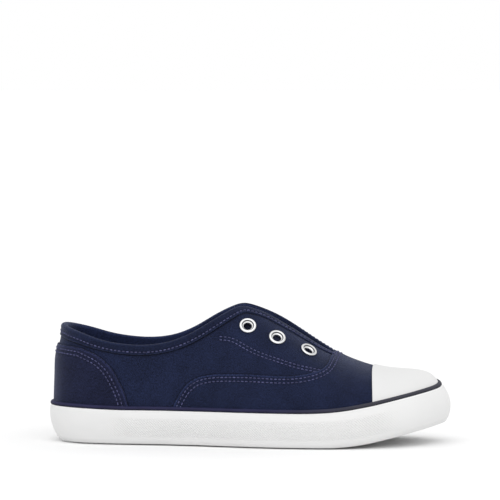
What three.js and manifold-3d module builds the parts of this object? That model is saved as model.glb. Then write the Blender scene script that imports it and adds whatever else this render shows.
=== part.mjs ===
// A laceless canvas sneaker for the right foot, in millimetres, +Z up.
// +X points to the toe, -Y to the outer (lateral) side and Z = 0 is the floor.
//
// One surface, skin(tau, v, lift), carries the shape of the last. tau runs round the foot from the
// heel (0) along the lateral side to the toe (SPAN) and back along the medial side (2 * SPAN). v runs
// from the feather line, where the upper meets the sole (0), up to the ridge over the foot (1).
// Every piece is a loft on that surface, lifted out of it or sunk into it.

import * as THREE from 'three';
import { mergeVertices } from 'three/addons/utils/BufferGeometryUtils.js';
import Module from 'manifold-3d';

const wasm = await Module();
wasm.setup();

// ---- Driving dimensions ----------------------------------------------------------------------

const LENGTH = 260; // sole, heel to toe
const BALL_WIDTH = 82; // upper at the ball of the foot
const INSTEP = 89; // floor to the front peak of the collar
const FEATHER = 9; // walking face to the feather line
const GAP = 0.3; // between pieces that meet

const WALL = 1.6; // canvas and lining
const OVERLAY = 1.2; // toe cap and heel counter
const HEEL_SEAT = 5; // insole under the heel
const FORE_SEAT = 3.5; // insole under the toes
const SEAT_INSET = 2; // insole's edge, in from the feather line

const SIDEWALL = { height: 22.6, heelRise: 1.4, toeRise: 1.9, tipRise: 2.6, lip: 2.1, ledge: 3.5, floorGap: 0.45 };
const TIP = { at: 12.8, run: 0.75 }; // highest place of the tip's rise, in steps of the last, and its reach
const SIDEWALL_BULGE_AT = 0.62; // share of the sidewall's height
const BEAD = { height: 2.2, thickness: 1.9, corner: 0.45 };
const ROOM_STEP = { clear: 12, run: 10 }; // where the sidewall steps out round an overlay's end
const SOLE_INSET = 3.8; // outsole's edge, in from the feather line

const FLAT_END = 183; // where the sole leaves the floor
const SPRING_RADIUS = 150;
const SPRING_ARC = 33; // length of that bend, straight ahead of it
const ARCH = { start: 65, end: 135, lift: 0.8 };

const LUG = { depth: 1.5, groove: 3, pitch: 13, zigzag: 7, turns: 4, border: 6 };
const LUG_FIELDS = [[16, 60], [136, 240]]; // heel, then forefoot

const GORE = { start: 128, end: 195, sink: 4, edgeSink: 2.2, thickness: 1.4, edgeThickness: 0.8 };
const GORE_ROWS = [0, 0.1, 0.25, 0.4, 0.6, 0.8, 1]; // from its lower edge up to the ridge

const EYELET = { hole: 2.7, barrel: 3.2, flange: 5.4, innerFlange: 4.4, sheet: 0.6, crown: 0.5 };
const EYELET_GAP = { outside: 0.4, inside: 1 }; // the curved wall needs more on its hollow side
const EYELET_SIDES = 14;

const HALF_COLUMNS = { collar: 21, toe: 12 }; // lengthwise cuts of each half of the shoe
const ROWS = 10; // cuts of each half from the feather line up
const TURN_WEIGHT = 60; // mm of outline that one radian of turning counts for, when cuts are spaced

// ---- Tables ----------------------------------------------------------------------------------

const table = (names, rows) =>
  Object.fromEntries(names.map((name, column) => [name, rows.map((row) => row[column])]));

// Sections of the last. Along the foot in percent of LENGTH, across it in percent of BALL_WIDTH.
// The ridge point is where the two sides meet on top, and squareness is the superellipse's power.
const LAST = table(
  ['lateralX', 'lateralY', 'medialX', 'medialY', 'ridgeX', 'ridgeY', 'squareness'],
  [
    [1.5, 0, 1.5, 0, 16.2, 0, 3.0], // heel
    [4.6, -24.4, 4.6, 24.4, 16.9, 0, 3.0],
    [13.1, -35.4, 13.1, 34.1, 19.2, 0, 2.9],
    [23.1, -37.2, 23.1, 32.9, 25.4, 0.6, 2.7],
    [33.1, -39.0, 33.1, 31.1, 33.8, 1.2, 2.4],
    [43.1, -43.9, 43.1, 32.9, 43.1, 1.8, 2.2], // waist
    [53.1, -50.0, 53.1, 39.0, 53.1, 2.4, 2.1],
    [62.7, -53.0, 62.7, 47.0, 62.7, 3.7, 2.2], // ball
    [72.3, -51.8, 72.7, 51.2, 71.9, 4.9, 2.4],
    [81.2, -44.5, 81.9, 49.4, 79.2, 6.1, 2.7],
    [89.2, -31.1, 90.2, 42.7, 82.3, 7.3, 3.1],
    [94.8, -11.6, 95.4, 29.9, 84.2, 7.9, 3.7],
    [97.3, 9.8, 97.3, 9.8, 85.0, 7.9, 4], // toe
  ],
);
const SPAN = LAST.ridgeX.length - 1;

// Height of the ridge in percent of INSTEP, at even steps along the sole.
const RIDGE = [112.4, 115.7, 119.1, 121.9, 122.5, 117.4, 107.3, 97.4, 84, 68.9, 58.3, 52.3, 51.5, 52.1];

// Collar, from the heel: along the foot in percent of LENGTH, height on either side in percent of
// INSTEP. It stands higher on the medial side, over the arch.
const COLLAR = table(
  ['x', 'lateral', 'medial'],
  [
    [3.5, 86, 86],
    [7.7, 82, 82.4],
    [13.5, 76.4, 77.3],
    [19.2, 73.1, 74.4],
    [25, 72.3, 73.8],
    [30.8, 74.5, 76.4],
    [36.2, 80.3, 83],
    [40.8, 88, 91],
    [45, 95.5, 97.3],
  ],
);

// Throat, from the collar's peak: along the foot in percent of LENGTH, how far its edge lies from
// the ridge on either side in percent of BALL_WIDTH.
const THROAT = table(
  ['x', 'lateral', 'medial'],
  [
    [48.5, 17, 16],
    [51.5, 13.5, 12.5],
    [55.4, 12, 9.8],
    [60, 12.5, 6.1],
    [65.4, 11, 3.7],
    [70.4, 8.5, 3.7],
    [72, 0, 0],
  ],
);

// Outer wall of the sidewall, in mm out from the feather line, at places along each half.
const SIDE_REACH = table(
  ['along', 'bulge', 'foot'],
  [[0, 3.5, -1.6], [2, 4.1, 1.2], [5, 4.4, 3], [8, 4.6, 3.2], [10, 5.7, 3.8], [12, 7, 5.1]],
);

// Heel counter's front edge in side view, from the back seam down to the sole, in mm.
const COUNTER_EDGE = table(
  ['x', 'z'],
  [[-10, 64.7], [8, 63.8], [21, 62], [35, 56], [46, 46], [52.5, 33], [55.5, 10]],
);

// Toe cap's rear edge in plan: an arc through its middle and its two ends.
const CAP_EDGE = { middleX: 210.8, endX: 213.3, halfWidth: 42, centreY: 5 };

// Lower edge of the elastic gusset: share of the wall between feather line and rim.
const GORE_TUCK = table(['x', 'v'], [[120, 0.5], [150, 0.47], [175, 0.5], [200, 0.6]]);

// Eyelet centres in side view, rear to front, in mm.
const EYELET_SPOTS = table(['x', 'z'], [[132, 76.6], [151, 69.3], [171, 61.1]]);

// ---- Curves ----------------------------------------------------------------------------------

const clamp = THREE.MathUtils.clamp;
const lerp = THREE.MathUtils.lerp;
const steps = (count) => Array.from({ length: count + 1 }, (_, i) => i / count);

// Smooth curve through evenly spaced values. Past an end it is 'level' (mirrored) or 'free'
// (carried on), or the values close on themselves as a 'loop'.
function spline(values, start, end = start) {
  const last = values.length - 1;
  const padded = (c) => {
    if (start === 'loop') return [c[last], ...c, c[0], c[1]];
    const before = start === 'level' ? c[1] : 2 * c[0] - c[1];
    const after = end === 'level' ? c[last - 1] : 2 * c[last] - c[last - 1];
    return [before, ...c, after, after];
  };
  let controls = values;
  for (let round = 0; round < 90; round++) {
    const c = padded(controls);
    controls = controls.map((value, i) => value + values[i] - (c[i] + 4 * c[i + 1] + c[i + 2]) / 6);
  }
  const c = padded(controls);
  return (t) => {
    const i = clamp(Math.floor(t), 0, c.length - 4);
    const u = t - i;
    const weights = [
      (1 - u) ** 3,
      3 * u ** 3 - 6 * u ** 2 + 4,
      -3 * u ** 3 + 3 * u ** 2 + 3 * u + 1,
      u ** 3,
    ];
    return weights.reduce((sum, weight, k) => sum + weight * c[i + k], 0) / 6;
  };
}

// Straight runs between a table's rows.
function between(x, xs, ys) {
  const i = clamp(xs.findIndex((value) => value > x) - 1, 0, xs.length - 2);
  const row = x >= xs.at(-1) ? xs.length - 2 : i;
  return lerp(ys[row], ys[row + 1], clamp((x - xs[row]) / (xs[row + 1] - xs[row]), 0, 1));
}

function bisect(low, high, isBelow) {
  for (let round = 0; round < 40; round++) {
    const middle = (low + high) / 2;
    if (isBelow(middle)) low = middle;
    else high = middle;
  }
  return (low + high) / 2;
}

// ---- The last --------------------------------------------------------------------------------

const scaled = (values, size) => values.map((value) => (value / 100) * size);
const roundTheFoot = (lateral, medial) => [...lateral, ...medial.slice(1, -1).reverse()];

const outlineX = spline(scaled(roundTheFoot(LAST.lateralX, LAST.medialX), LENGTH), 'loop');
const outlineY = spline(scaled(roundTheFoot(LAST.lateralY, LAST.medialY), BALL_WIDTH), 'loop');
const ridgeX = spline(scaled(LAST.ridgeX, LENGTH), 'level');
const ridgeY = spline(scaled(LAST.ridgeY, BALL_WIDTH), 'level');
const squareness = spline(LAST.squareness, 'level');
const ridgeHeight = spline(scaled(RIDGE, INSTEP), 'free');

const ridgeZ = (x) => ridgeHeight(clamp(x / LENGTH, 0, 1) * (RIDGE.length - 1));
const wrap = (tau) => THREE.MathUtils.euclideanModulo(tau, 2 * SPAN);
const along = (tau) => Math.min(wrap(tau), 2 * SPAN - wrap(tau));

// Walking face: flat, then an arc, then straight up to the toe.
function soleZ(x) {
  const ahead = Math.max(x - FLAT_END, 0);
  const bend = Math.min(ahead, SPRING_ARC);
  return bend ** 2 / (2 * SPRING_RADIUS) + ((ahead - bend) * SPRING_ARC) / SPRING_RADIUS;
}

const archShare = (x) => clamp((x - ARCH.start) / (ARCH.end - ARCH.start), 0, 1);
const archZ = (x) => ARCH.lift * Math.sin(Math.PI * archShare(x)) ** 2;
const featherZ = (x) => soleZ(x) + FEATHER;

// Sections are superellipses: upright at the feather line, level at the ridge.
function last(tau, v) {
  const t = wrap(tau);
  const s = along(tau);
  const [foot, side] = [outlineX(t), outlineY(t)];
  const [topX, topY, power] = [ridgeX(s), ridgeY(s), squareness(s)];
  const cos = Math.max(Math.cos((v * Math.PI) / 2), 0);
  const sin = Math.sin((v * Math.PI) / 2);
  const radius = (cos ** power + sin ** power) ** (-1 / power);
  const x = lerp(topX, foot, radius * cos);
  const y = lerp(topY, side, radius * cos);
  return new THREE.Vector3(x, y, lerp(featherZ(foot), ridgeZ(x), radius * sin));
}

const SMALL = 1e-3;

function outward(tau, v) {
  const height = clamp(v, SMALL, 1 - 2 * SMALL);
  const around = last(tau + SMALL, height).sub(last(tau - SMALL, height));
  const up = last(tau, height + SMALL).sub(last(tau, height - SMALL));
  const normal = around.cross(up).normalize();
  if (v < 1) return normal;
  const upright = last(-tau + SMALL, height).sub(last(-tau - SMALL, height));
  const mirrored = upright.cross(last(-tau, height + SMALL).sub(last(-tau, height - SMALL))).normalize();
  return normal.add(mirrored).normalize(); // both sides agree on the ridge
}

const skin = (tau, v, lift = 0) => last(tau, v).addScaledVector(outward(tau, v), lift);

// Point beside the feather line in plan, out from it, at height z or at z(x).
function beside(tau, out, z) {
  const t = wrap(tau);
  const edge = new THREE.Vector2(outlineX(t), outlineY(t));
  const ahead = new THREE.Vector2(outlineX(wrap(tau + SMALL)), outlineY(wrap(tau + SMALL)));
  const behind = new THREE.Vector2(outlineX(wrap(tau - SMALL)), outlineY(wrap(tau - SMALL)));
  const run = ahead.sub(behind).normalize();
  const x = edge.x + run.y * out;
  return new THREE.Vector3(x, edge.y - run.x * out, typeof z === 'function' ? z(x) : z);
}

const placeAlong = (x, v) => bisect(0, SPAN, (s) => last(s, v).x < x);

function spotAtHeight(x, z) {
  const v = bisect(0, 1, (height) => last(placeAlong(x, height), height).z < z);
  return [placeAlong(x, v), v];
}

const heightAt = (tau, z, lift = 0) => bisect(0, 0.95, (v) => skin(tau, v, lift).z < z);
const spotOn = (tau, z, lift) => skin(tau, heightAt(tau, z, lift), lift).setZ(z);

// ---- Rim of the opening: collar, then throat, on either side -----------------------------------

function rimSpots(side) {
  const collar = COLLAR.x.map((x, i) => {
    const z = (COLLAR[side][i] / 100) * INSTEP;
    return i === 0 ? [0, heightAt(0, z)] : spotAtHeight((x / 100) * LENGTH, z);
  });
  const throat = THROAT.x.map((percent, i) => {
    const x = (percent / 100) * LENGTH;
    const gap = (THROAT[side][i] / 100) * BALL_WIDTH;
    if (gap === 0) return [placeAlong(x, 1 - SMALL), 1];
    const isBelow = (v) => {
      const s = placeAlong(x, v);
      return Math.abs(last(s, v).y - ridgeY(s)) > gap;
    };
    const v = bisect(0, 1, isBelow);
    return [placeAlong(x, v), v];
  });
  return [...collar, ...throat];
}

const RIM_END = COLLAR.x.length + THROAT.x.length - 1;

function rimOf(side) {
  const spots = rimSpots(side);
  return {
    along: spline(spots.map(([s]) => s), 'free', 'level'),
    v: spline(spots.map(([, v]) => v), 'level', 'free'),
  };
}

const RIM = { lateral: rimOf('lateral'), medial: rimOf('medial') };
const THROAT_FRONT = RIM.lateral.along(RIM_END);

function rimHeight(tau) {
  const s = along(tau);
  const rim = wrap(tau) > SPAN ? RIM.medial : RIM.lateral;
  if (s >= THROAT_FRONT - SMALL) return 1;
  return Math.min(rim.v(bisect(0, RIM_END, (q) => rim.along(q) < s)), 1 - SMALL);
}

// Lengthwise cuts, closer together where the outline turns. All pieces share them, so that their
// flat faces lie parallel and keep their gaps.
function evenCuts(from, to, count) {
  const fine = steps(400).map((t) => lerp(from, to, t));
  const runs = fine.slice(1).map((s, i) => beside(s, 0, 0).sub(beside(fine[i], 0, 0)));
  let total = 0;
  const sums = runs.map((run, i) => {
    total += run.length() + TURN_WEIGHT * (i > 0 ? run.angleTo(runs[i - 1]) : 0);
    return total;
  });
  return steps(count).map((t) => fine[t === 0 ? 0 : sums.findIndex((sum) => sum >= t * total - 1e-9) + 1]);
}

const CUTS = [
  ...evenCuts(0, THROAT_FRONT - 0.15, HALF_COLUMNS.collar),
  ...evenCuts(THROAT_FRONT, SPAN, HALF_COLUMNS.toe),
];
const ROUND = [...CUTS, ...CUTS.slice(1, -1).reverse().map((s) => 2 * SPAN - s)];

// ---- Solids ----------------------------------------------------------------------------------

// One closed body from triangle corners, with its faces pointing out.
function bodyOf(corners) {
  const soup = new THREE.BufferGeometry().setFromPoints(corners);
  const geometry = mergeVertices(soup, 1e-4);
  const [index, kept] = [geometry.index.array, []];
  for (let i = 0; i < index.length; i += 3) {
    const [a, b, c] = index.slice(i, i + 3);
    if (a !== b && b !== c && c !== a) kept.push(a, b, c);
  }
  const point = (i) => new THREE.Vector3().fromBufferAttribute(geometry.attributes.position, i);
  let volume = 0;
  for (let i = 0; i < kept.length; i += 3) {
    volume += point(kept[i]).dot(point(kept[i + 1]).cross(point(kept[i + 2])));
  }
  geometry.setIndex(volume < 0 ? kept.reverse() : kept);
  return geometry;
}

// Skins a row of closed sections that have equally many points. A 'ring' joins its last section to
// its first, and 'capped' closes both ends. isOpen(i, j) leaves out a face between two sections.
function loft(sections, ends = 'tapered', isOpen = () => false) {
  const corners = [];
  const count = sections[0].length;
  const spans = ends === 'ring' ? sections.length : sections.length - 1;
  for (let i = 0; i < spans; i++) {
    const [here, next] = [sections[i], sections[(i + 1) % sections.length]];
    for (let j = 0; j < count; j++) {
      if (isOpen(i, j)) continue;
      const k = (j + 1) % count;
      corners.push(here[j], next[j], next[k], here[j], next[k], here[k]);
    }
  }
  if (ends === 'capped') corners.push(...cap(sections[0]), ...cap(sections.at(-1)).reverse());
  return bodyOf(corners);
}

// Fills a long thin section whose second half runs back beside its first.
function cap(section) {
  const corners = [];
  const end = section.length - 1;
  for (let j = 0; j < section.length / 2 - 1; j++) {
    corners.push(section[j], section[j + 1], section[end - j - 1]);
    corners.push(section[j], section[end - j - 1], section[end - j]);
  }
  return corners;
}

function manifoldOf(geometry) {
  const bare = geometry.clone();
  bare.deleteAttribute('normal');
  bare.deleteAttribute('uv');
  const merged = mergeVertices(bare, 1e-4);
  return new wasm.Manifold(new wasm.Mesh({
    numProp: 3,
    vertProperties: merged.attributes.position.array,
    triVerts: Uint32Array.from(merged.index.array),
  }));
}

function geometryOf(manifold) {
  const mesh = manifold.getMesh();
  const geometry = new THREE.BufferGeometry();
  geometry.setAttribute('position', new THREE.BufferAttribute(mesh.vertProperties, 3));
  geometry.setIndex(new THREE.BufferAttribute(mesh.triVerts, 1));
  return geometry;
}

// ---- Upper -----------------------------------------------------------------------------------

const eyeletSpots = EYELET_SPOTS.x.map((x, i) => spotAtHeight(x, EYELET_SPOTS.z[i]));
const EYELETS = [['lateral', 1], ['medial', -1]].flatMap(([side, sign]) =>
  eyeletSpots.map(([s, v], i) => ({ name: `eyelet_${side}_${i + 1}`, tau: sign * s, v })));

const UP = new THREE.Vector3(0, 1, 0);
const facing = ({ tau, v }) => new THREE.Quaternion().setFromUnitVectors(UP, outward(tau, v));

function upper() {
  const sections = ROUND.map((tau) => {
    const rows = steps(ROWS).map((t) => t * rimHeight(tau));
    return [...rows.map((v) => skin(tau, v)), ...rows.reverse().map((v) => skin(tau, v, -WALL))];
  });
  const closed = ROUND.map((tau) => rimHeight(tau) === 1);
  const isOpen = (i, j) => j === ROWS && closed[i] && closed[(i + 1) % ROUND.length];
  let shell = manifoldOf(loft(sections, 'ring', isOpen));
  const hole = EYELET.barrel + GAP;
  for (const eyelet of EYELETS) {
    const drill = new THREE.CylinderGeometry(hole, hole, 8 * WALL, EYELET_SIDES);
    drill.applyQuaternion(facing(eyelet));
    drill.translate(...skin(eyelet.tau, eyelet.v, -WALL / 2));
    shell = shell.subtract(manifoldOf(drill));
  }
  return geometryOf(shell);
}

// ---- Overlays: cut between two larger forms of the last ----------------------------------------

// The whole last, lifted out evenly and carried down below the feather line by drop.
function form(lift, drop) {
  const rows = steps(ROWS);
  const side = (tau) => {
    const foot = skin(tau, 0, lift);
    return [foot.clone().setZ(foot.z - drop), ...rows.map((v) => skin(tau, v, lift))];
  };
  return manifoldOf(loft(CUTS.map((s) => [...side(s), ...side(-s).reverse()])));
}

const BEYOND = 10; // how far a cutter runs past what it cuts
const prism = (outline, depth) =>
  new THREE.ExtrudeGeometry(new THREE.Shape(outline), { depth, bevelEnabled: false });

const overlay = (cutter) =>
  geometryOf(form(GAP + OVERLAY, 0).subtract(form(GAP, FEATHER / 2)).intersect(manifoldOf(cutter)));

function toeCap() {
  const { middleX, endX, halfWidth, centreY } = CAP_EDGE;
  const rise = endX - middleX;
  const reach = 1.3 * halfWidth;
  const edge = steps(12).map((t) => {
    const y = lerp(-reach, reach, t);
    return new THREE.Vector2(middleX + rise * (y / halfWidth) ** 2, y + centreY);
  });
  const front = [reach, -reach].map((y) => new THREE.Vector2(LENGTH + BEYOND, y + centreY));
  return overlay(prism([...edge, ...front].reverse(), INSTEP));
}

function heelCounter() {
  const spots = COUNTER_EDGE.x.map((x, i) => new THREE.Vector2(x, COUNTER_EDGE.z[i]));
  const curve = new THREE.SplineCurve(spots);
  const under = [COUNTER_EDGE.x.at(-1), COUNTER_EDGE.x[0]].map((x) => new THREE.Vector2(x, -BEYOND));
  const cutter = prism([...curve.getPoints(18), ...under].reverse(), BALL_WIDTH);
  cutter.rotateX(Math.PI / 2);
  cutter.translate(0, BALL_WIDTH / 2, 0);
  return overlay(cutter);
}

// ---- Sidewall and its bead ---------------------------------------------------------------------

// Room behind the sidewall: the overlays pass behind it at the toe and the heel.
function roomBehind(tau) {
  const { x } = beside(tau, 0, 0);
  const capEdge = CAP_EDGE.middleX - ROOM_STEP.clear;
  const counterEdge = COUNTER_EDGE.x.at(-1) + ROOM_STEP.clear;
  const behindCap = THREE.MathUtils.smoothstep(x, capEdge - ROOM_STEP.run, capEdge);
  const behindCounter = 1 - THREE.MathUtils.smoothstep(x, counterEdge, counterEdge + ROOM_STEP.run);
  return GAP + (OVERLAY + GAP) * Math.max(behindCap, behindCounter);
}

function sidewallTop(tau) {
  const { x } = beside(tau, 0, 0);
  const toeRise = SIDEWALL.toeRise * THREE.MathUtils.smoothstep(x, 165, 215);
  const heelRise = SIDEWALL.heelRise * (1 - THREE.MathUtils.smoothstep(x, 0, 62));
  const tipRise = SIDEWALL.tipRise * Math.exp(-(((tau - TIP.at) / TIP.run) ** 2));
  return soleZ(x) + SIDEWALL.height + toeRise + tipRise + heelRise;
}

function outerReach(tau, share, topReach) {
  const bulge = between(along(tau), SIDE_REACH.along, SIDE_REACH.bulge);
  const foot = between(along(tau), SIDE_REACH.along, SIDE_REACH.foot);
  const at = SIDEWALL_BULGE_AT; // a parabola through foot, bulge and top
  return foot * ((share - at) * (share - 1)) / at
    + bulge * (share * (share - 1)) / (at * (at - 1))
    + topReach * (share * (share - at)) / (1 - at);
}

function foxing() {
  const sections = ROUND.map((tau) => {
    const edge = beside(tau, 0, 0);
    const run = beside(tau, 1, 0).sub(edge);
    const floor = (x) => soleZ(x) + SIDEWALL.floorGap;
    const ledge = (x) => featherZ(x) - GAP;
    const top = sidewallTop(tau);
    const room = roomBehind(tau);
    const lip = spotOn(tau, top, room + SIDEWALL.lip);
    const topReach = lip.clone().sub(edge).dot(run);
    const outer = [0.85, SIDEWALL_BULGE_AT, 0.3, 0].map((share) =>
      beside(tau, outerReach(tau, share, topReach), (x) => lerp(floor(x), top, share)));
    return [
      beside(tau, -SIDEWALL.ledge, floor),
      beside(tau, -SIDEWALL.ledge, ledge),
      beside(tau, room, ledge(edge.x)),
      ...[0.4, 0.7, 1].map((share) => spotOn(tau, lerp(featherZ(edge.x), top, share), room)),
      lip,
      ...outer,
    ];
  });
  return loft(sections, 'ring');
}

function foxingStripe() {
  const { height, thickness, corner } = BEAD;
  const sections = ROUND.map((tau) => {
    const low = sidewallTop(tau) + GAP;
    const high = low + height;
    const room = roomBehind(tau);
    const spot = (out, z) => spotOn(tau, z, room + out);
    return [
      spot(0, low),
      spot(0, high),
      spot(thickness - 2 * corner, high),
      spot(thickness, high - corner - 0.3),
      spot(thickness, low + corner),
      spot(thickness - corner, low),
    ];
  });
  return loft(sections, 'ring');
}

// ---- Outsole and insole --------------------------------------------------------------------------

// A slab across the shoe inside the feather line. bottom and top give its height at x and at a
// share of the half width, which is 1 at the edge, heel and toe included.
function slab(inset, bottom, top, across = 4) {
  const sections = CUTS.map((s) => {
    const [lateral, medial] = [beside(s, -inset, 0), beside(-s, -inset, 0)];
    const row = steps(across).map((t) => lateral.clone().lerp(medial, t));
    const tip = lateral.distanceTo(medial) < GAP;
    const share = (i) => (tip ? 1 : Math.abs(2 * (i / across) - 1));
    const at = (height) => row.map((point, i) => point.clone().setZ(height(point.x, share(i))));
    return [...at(bottom), ...at(top).reverse()];
  });
  return loft(sections);
}

const walkingFace = (x) => soleZ(x) + archZ(x);

// Zigzag grooves across the tread, cut to an even depth inside a plain border.
function treadGrooves() {
  const { depth, groove, pitch, zigzag, border } = LUG;
  const reach = BALL_WIDTH * 0.7;
  const turns = steps(LUG.turns);
  const sheets = LUG_FIELDS.flatMap(([start, end]) => {
    const count = Math.round((end - start) / pitch);
    return steps(count).map((t) => {
      const x = lerp(start, end, t);
      const rear = turns.map((u, i) => new THREE.Vector2(x + (i % 2 ? zigzag : 0), lerp(-reach, reach, u)));
      const front = rear.map((point) => point.clone().setX(point.x + groove)).reverse();
      return manifoldOf(prism([...rear, ...front], INSTEP).translate(0, 0, -BEYOND));
    });
  });
  const below = (x) => walkingFace(x) - depth;
  const field = manifoldOf(slab(SOLE_INSET + border, below, (x) => walkingFace(x) + depth));
  return sheets.reduce((all, sheet) => all.add(sheet)).intersect(field);
}

function outsole() {
  const block = manifoldOf(slab(SOLE_INSET, walkingFace, (x) => featherZ(x) - GAP));
  return geometryOf(block.subtract(treadGrooves()));
}

function insole() {
  const thickness = (x) => lerp(HEEL_SEAT, FORE_SEAT, THREE.MathUtils.smoothstep(x, 60, 170));
  return slab(SEAT_INSET, featherZ, (x, share) => featherZ(x) + thickness(x) - 1 + share ** 2);
}

// ---- Elastic gusset ------------------------------------------------------------------------------

function elasticGusset() {
  const ridge = CUTS.map((s) => last(s, 1).x).filter((x) => x > GORE.start + 2 && x < GORE.end - 2);
  const sections = [GORE.start, ...ridge, GORE.end].map((x) => {
    const s = placeAlong(x, 1 - SMALL);
    const edge = between(x, GORE_TUCK.x, GORE_TUCK.v);
    const rows = [...GORE_ROWS, ...GORE_ROWS.slice(0, -1).reverse()];
    const at = (layer) => rows.map((t, i) => {
      const inside = t > 0 ? 1 : 0;
      const sink = lerp(GORE.edgeSink, GORE.sink, inside);
      const thickness = lerp(GORE.edgeThickness, GORE.thickness, inside);
      return skin(i < GORE_ROWS.length ? s : -s, lerp(edge, 1, t), -sink - layer * thickness);
    });
    return [...at(0), ...at(1).reverse()];
  });
  return loft(sections, 'capped');
}

// ---- Eyelets -------------------------------------------------------------------------------------

function eyeletRing() {
  const { hole, barrel, flange, innerFlange, sheet, crown } = EYELET;
  const inside = -WALL - EYELET_GAP.inside;
  const seat = EYELET_GAP.outside;
  const profile = [
    [hole, inside - sheet],
    [innerFlange, inside - sheet],
    [innerFlange, inside],
    [barrel, inside],
    [barrel, seat],
    [flange, seat],
    [flange - 0.3, seat + sheet],
    [(flange + hole) / 2, seat + sheet + crown],
    [hole, seat],
    [hole, inside - sheet],
  ];
  const ring = new THREE.LatheGeometry(profile.map(([r, h]) => new THREE.Vector2(r, h)), EYELET_SIDES);
  ring.deleteAttribute('normal');
  ring.deleteAttribute('uv');
  return mergeVertices(ring, 1e-4);
}

// ---- Assembly ------------------------------------------------------------------------------------

const finish = (color, roughness, metalness = 0) =>
  new THREE.MeshStandardMaterial({ color, roughness, metalness });
const RUBBER = finish('#e9e9e8', 0.55);
const NAVY_RUBBER = finish('#262a45', 0.5);
const CANVAS = finish('#20254a', 0.9);
const ELASTIC = finish('#171a30', 0.85);
const TEXTILE = finish('#2a2e4a', 0.9);
const NICKEL = finish('#d5d6d8', 0.25, 1);

const shoe = new THREE.Group();

function addPiece(name, geometry, material) {
  const mesh = new THREE.Mesh(geometry, material);
  mesh.name = name;
  shoe.add(mesh);
  return mesh;
}

addPiece('outsole', outsole(), RUBBER);
addPiece('foxing', foxing(), RUBBER);
addPiece('foxing_stripe', foxingStripe(), NAVY_RUBBER);
addPiece('upper', upper(), CANVAS);
addPiece('toe_cap', toeCap(), RUBBER);
addPiece('heel_counter', heelCounter(), CANVAS);
addPiece('elastic_gusset', elasticGusset(), ELASTIC);
addPiece('insole', insole(), TEXTILE);
for (const eyelet of EYELETS) {
  const ring = addPiece(eyelet.name, eyeletRing(), NICKEL);
  ring.quaternion.copy(facing(eyelet));
  ring.position.copy(skin(eyelet.tau, eyelet.v));
}

// The origin is under the middle of the shoe's box, on the floor.
const box = new THREE.Box3().setFromObject(shoe);
const centre = box.getCenter(new THREE.Vector3());
shoe.position.set(-centre.x, -centre.y, -box.min.z);

export default shoe;
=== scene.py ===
"""Looks of a laceless navy canvas sneaker for the right foot.

Shapes are worked out in millimetres in the last's own coordinates: x from the heel to the toe, y to
the inner side of the foot, z up from the floor. One surface, surface(tau, v), carries the shape.
tau runs round the foot from the heel (0) along the outer side to the toe (SPAN) and back along the
inner side. v runs from the feather line (0) over the ridge (1) and down the other side (2).
Every layer of cloth or rubber is that surface lifted out or sunk in by some millimetres.
"""

import math

import bpy
import numpy as np
from mathutils.kdtree import KDTree
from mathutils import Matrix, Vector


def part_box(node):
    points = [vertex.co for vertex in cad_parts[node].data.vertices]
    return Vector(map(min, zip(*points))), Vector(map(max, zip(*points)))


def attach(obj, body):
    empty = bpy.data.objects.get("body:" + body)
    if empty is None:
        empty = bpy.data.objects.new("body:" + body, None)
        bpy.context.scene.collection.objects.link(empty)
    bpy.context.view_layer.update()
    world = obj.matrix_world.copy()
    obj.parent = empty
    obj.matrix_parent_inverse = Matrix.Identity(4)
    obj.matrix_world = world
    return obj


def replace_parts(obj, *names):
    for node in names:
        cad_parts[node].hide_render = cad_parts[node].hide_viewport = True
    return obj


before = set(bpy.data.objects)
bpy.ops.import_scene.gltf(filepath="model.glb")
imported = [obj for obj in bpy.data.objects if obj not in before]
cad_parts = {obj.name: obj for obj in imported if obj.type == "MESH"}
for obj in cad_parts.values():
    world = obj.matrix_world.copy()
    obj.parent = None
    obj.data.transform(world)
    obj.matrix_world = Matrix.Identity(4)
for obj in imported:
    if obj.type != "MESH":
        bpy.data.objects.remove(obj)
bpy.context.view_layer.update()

# ---- Driving dimensions, mm ----

LENGTH = 260.0
BALL_WIDTH = 82.0
INSTEP = 89.0
FEATHER = 9.0

CANVAS = 0.7
LINING = {"outer": -0.8, "inner": -1.6}
VAMP = {"inner": 0.05, "outer": 0.8, "climb": 0.25, "climb_run": (4, 12)}
COUNTER = {"inner": 0.1, "outer": 1.3}
CAP = {"inner": 0.85, "outer": 1.75}
# folded tape round the opening: how far it reaches down, how far it stands out, radius of its roll,
# and how it flattens at the front of the throat
BINDING = {"outside": 6.4, "heel_extra": 1.4, "inside": 7.5, "outer": 0.95, "roll": 1.65,
           "heel_roll": 0.6, "heel_run": (8, 45), "front": 0.5, "front_run": (1, 9)}
# elastic under the throat: its lower edge as (x, share of the wall), and how much deeper it lies on
# the ridge and at its rear end
GUSSET = {"start": 129, "end": 195, "edge": [(120, 0.5), (150, 0.47), (175, 0.5), (200, 0.6)],
          "depth": 2.0, "thickness": 1.0, "ridge": 0.6, "rear": 2.2, "rear_run": (128, 142)}
INSOLE = {"inset": 2.0, "heel": 4.0, "ball": 2.5, "thins": (60, 170), "cup": 1.2, "fill": 0.8}
# zigzag grooves inside a plain border, with a plain band at the shank
TREAD = {"inset": 3.8, "pitch": 6.5, "zigzag": 13.0, "swing": 14.0, "depth": 1.3, "groove": (0.62, 0.8),
         "border": (4, 5), "heel": 8, "toe": 250, "shank": 100, "shank_run": (3, 4.5)}

FLAT_END = 183.0
SPRING_RADIUS = 150.0
SPRING_ARC = 33.0
ARCH = {"start": 65.0, "end": 135.0, "lift": 0.8}

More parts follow.
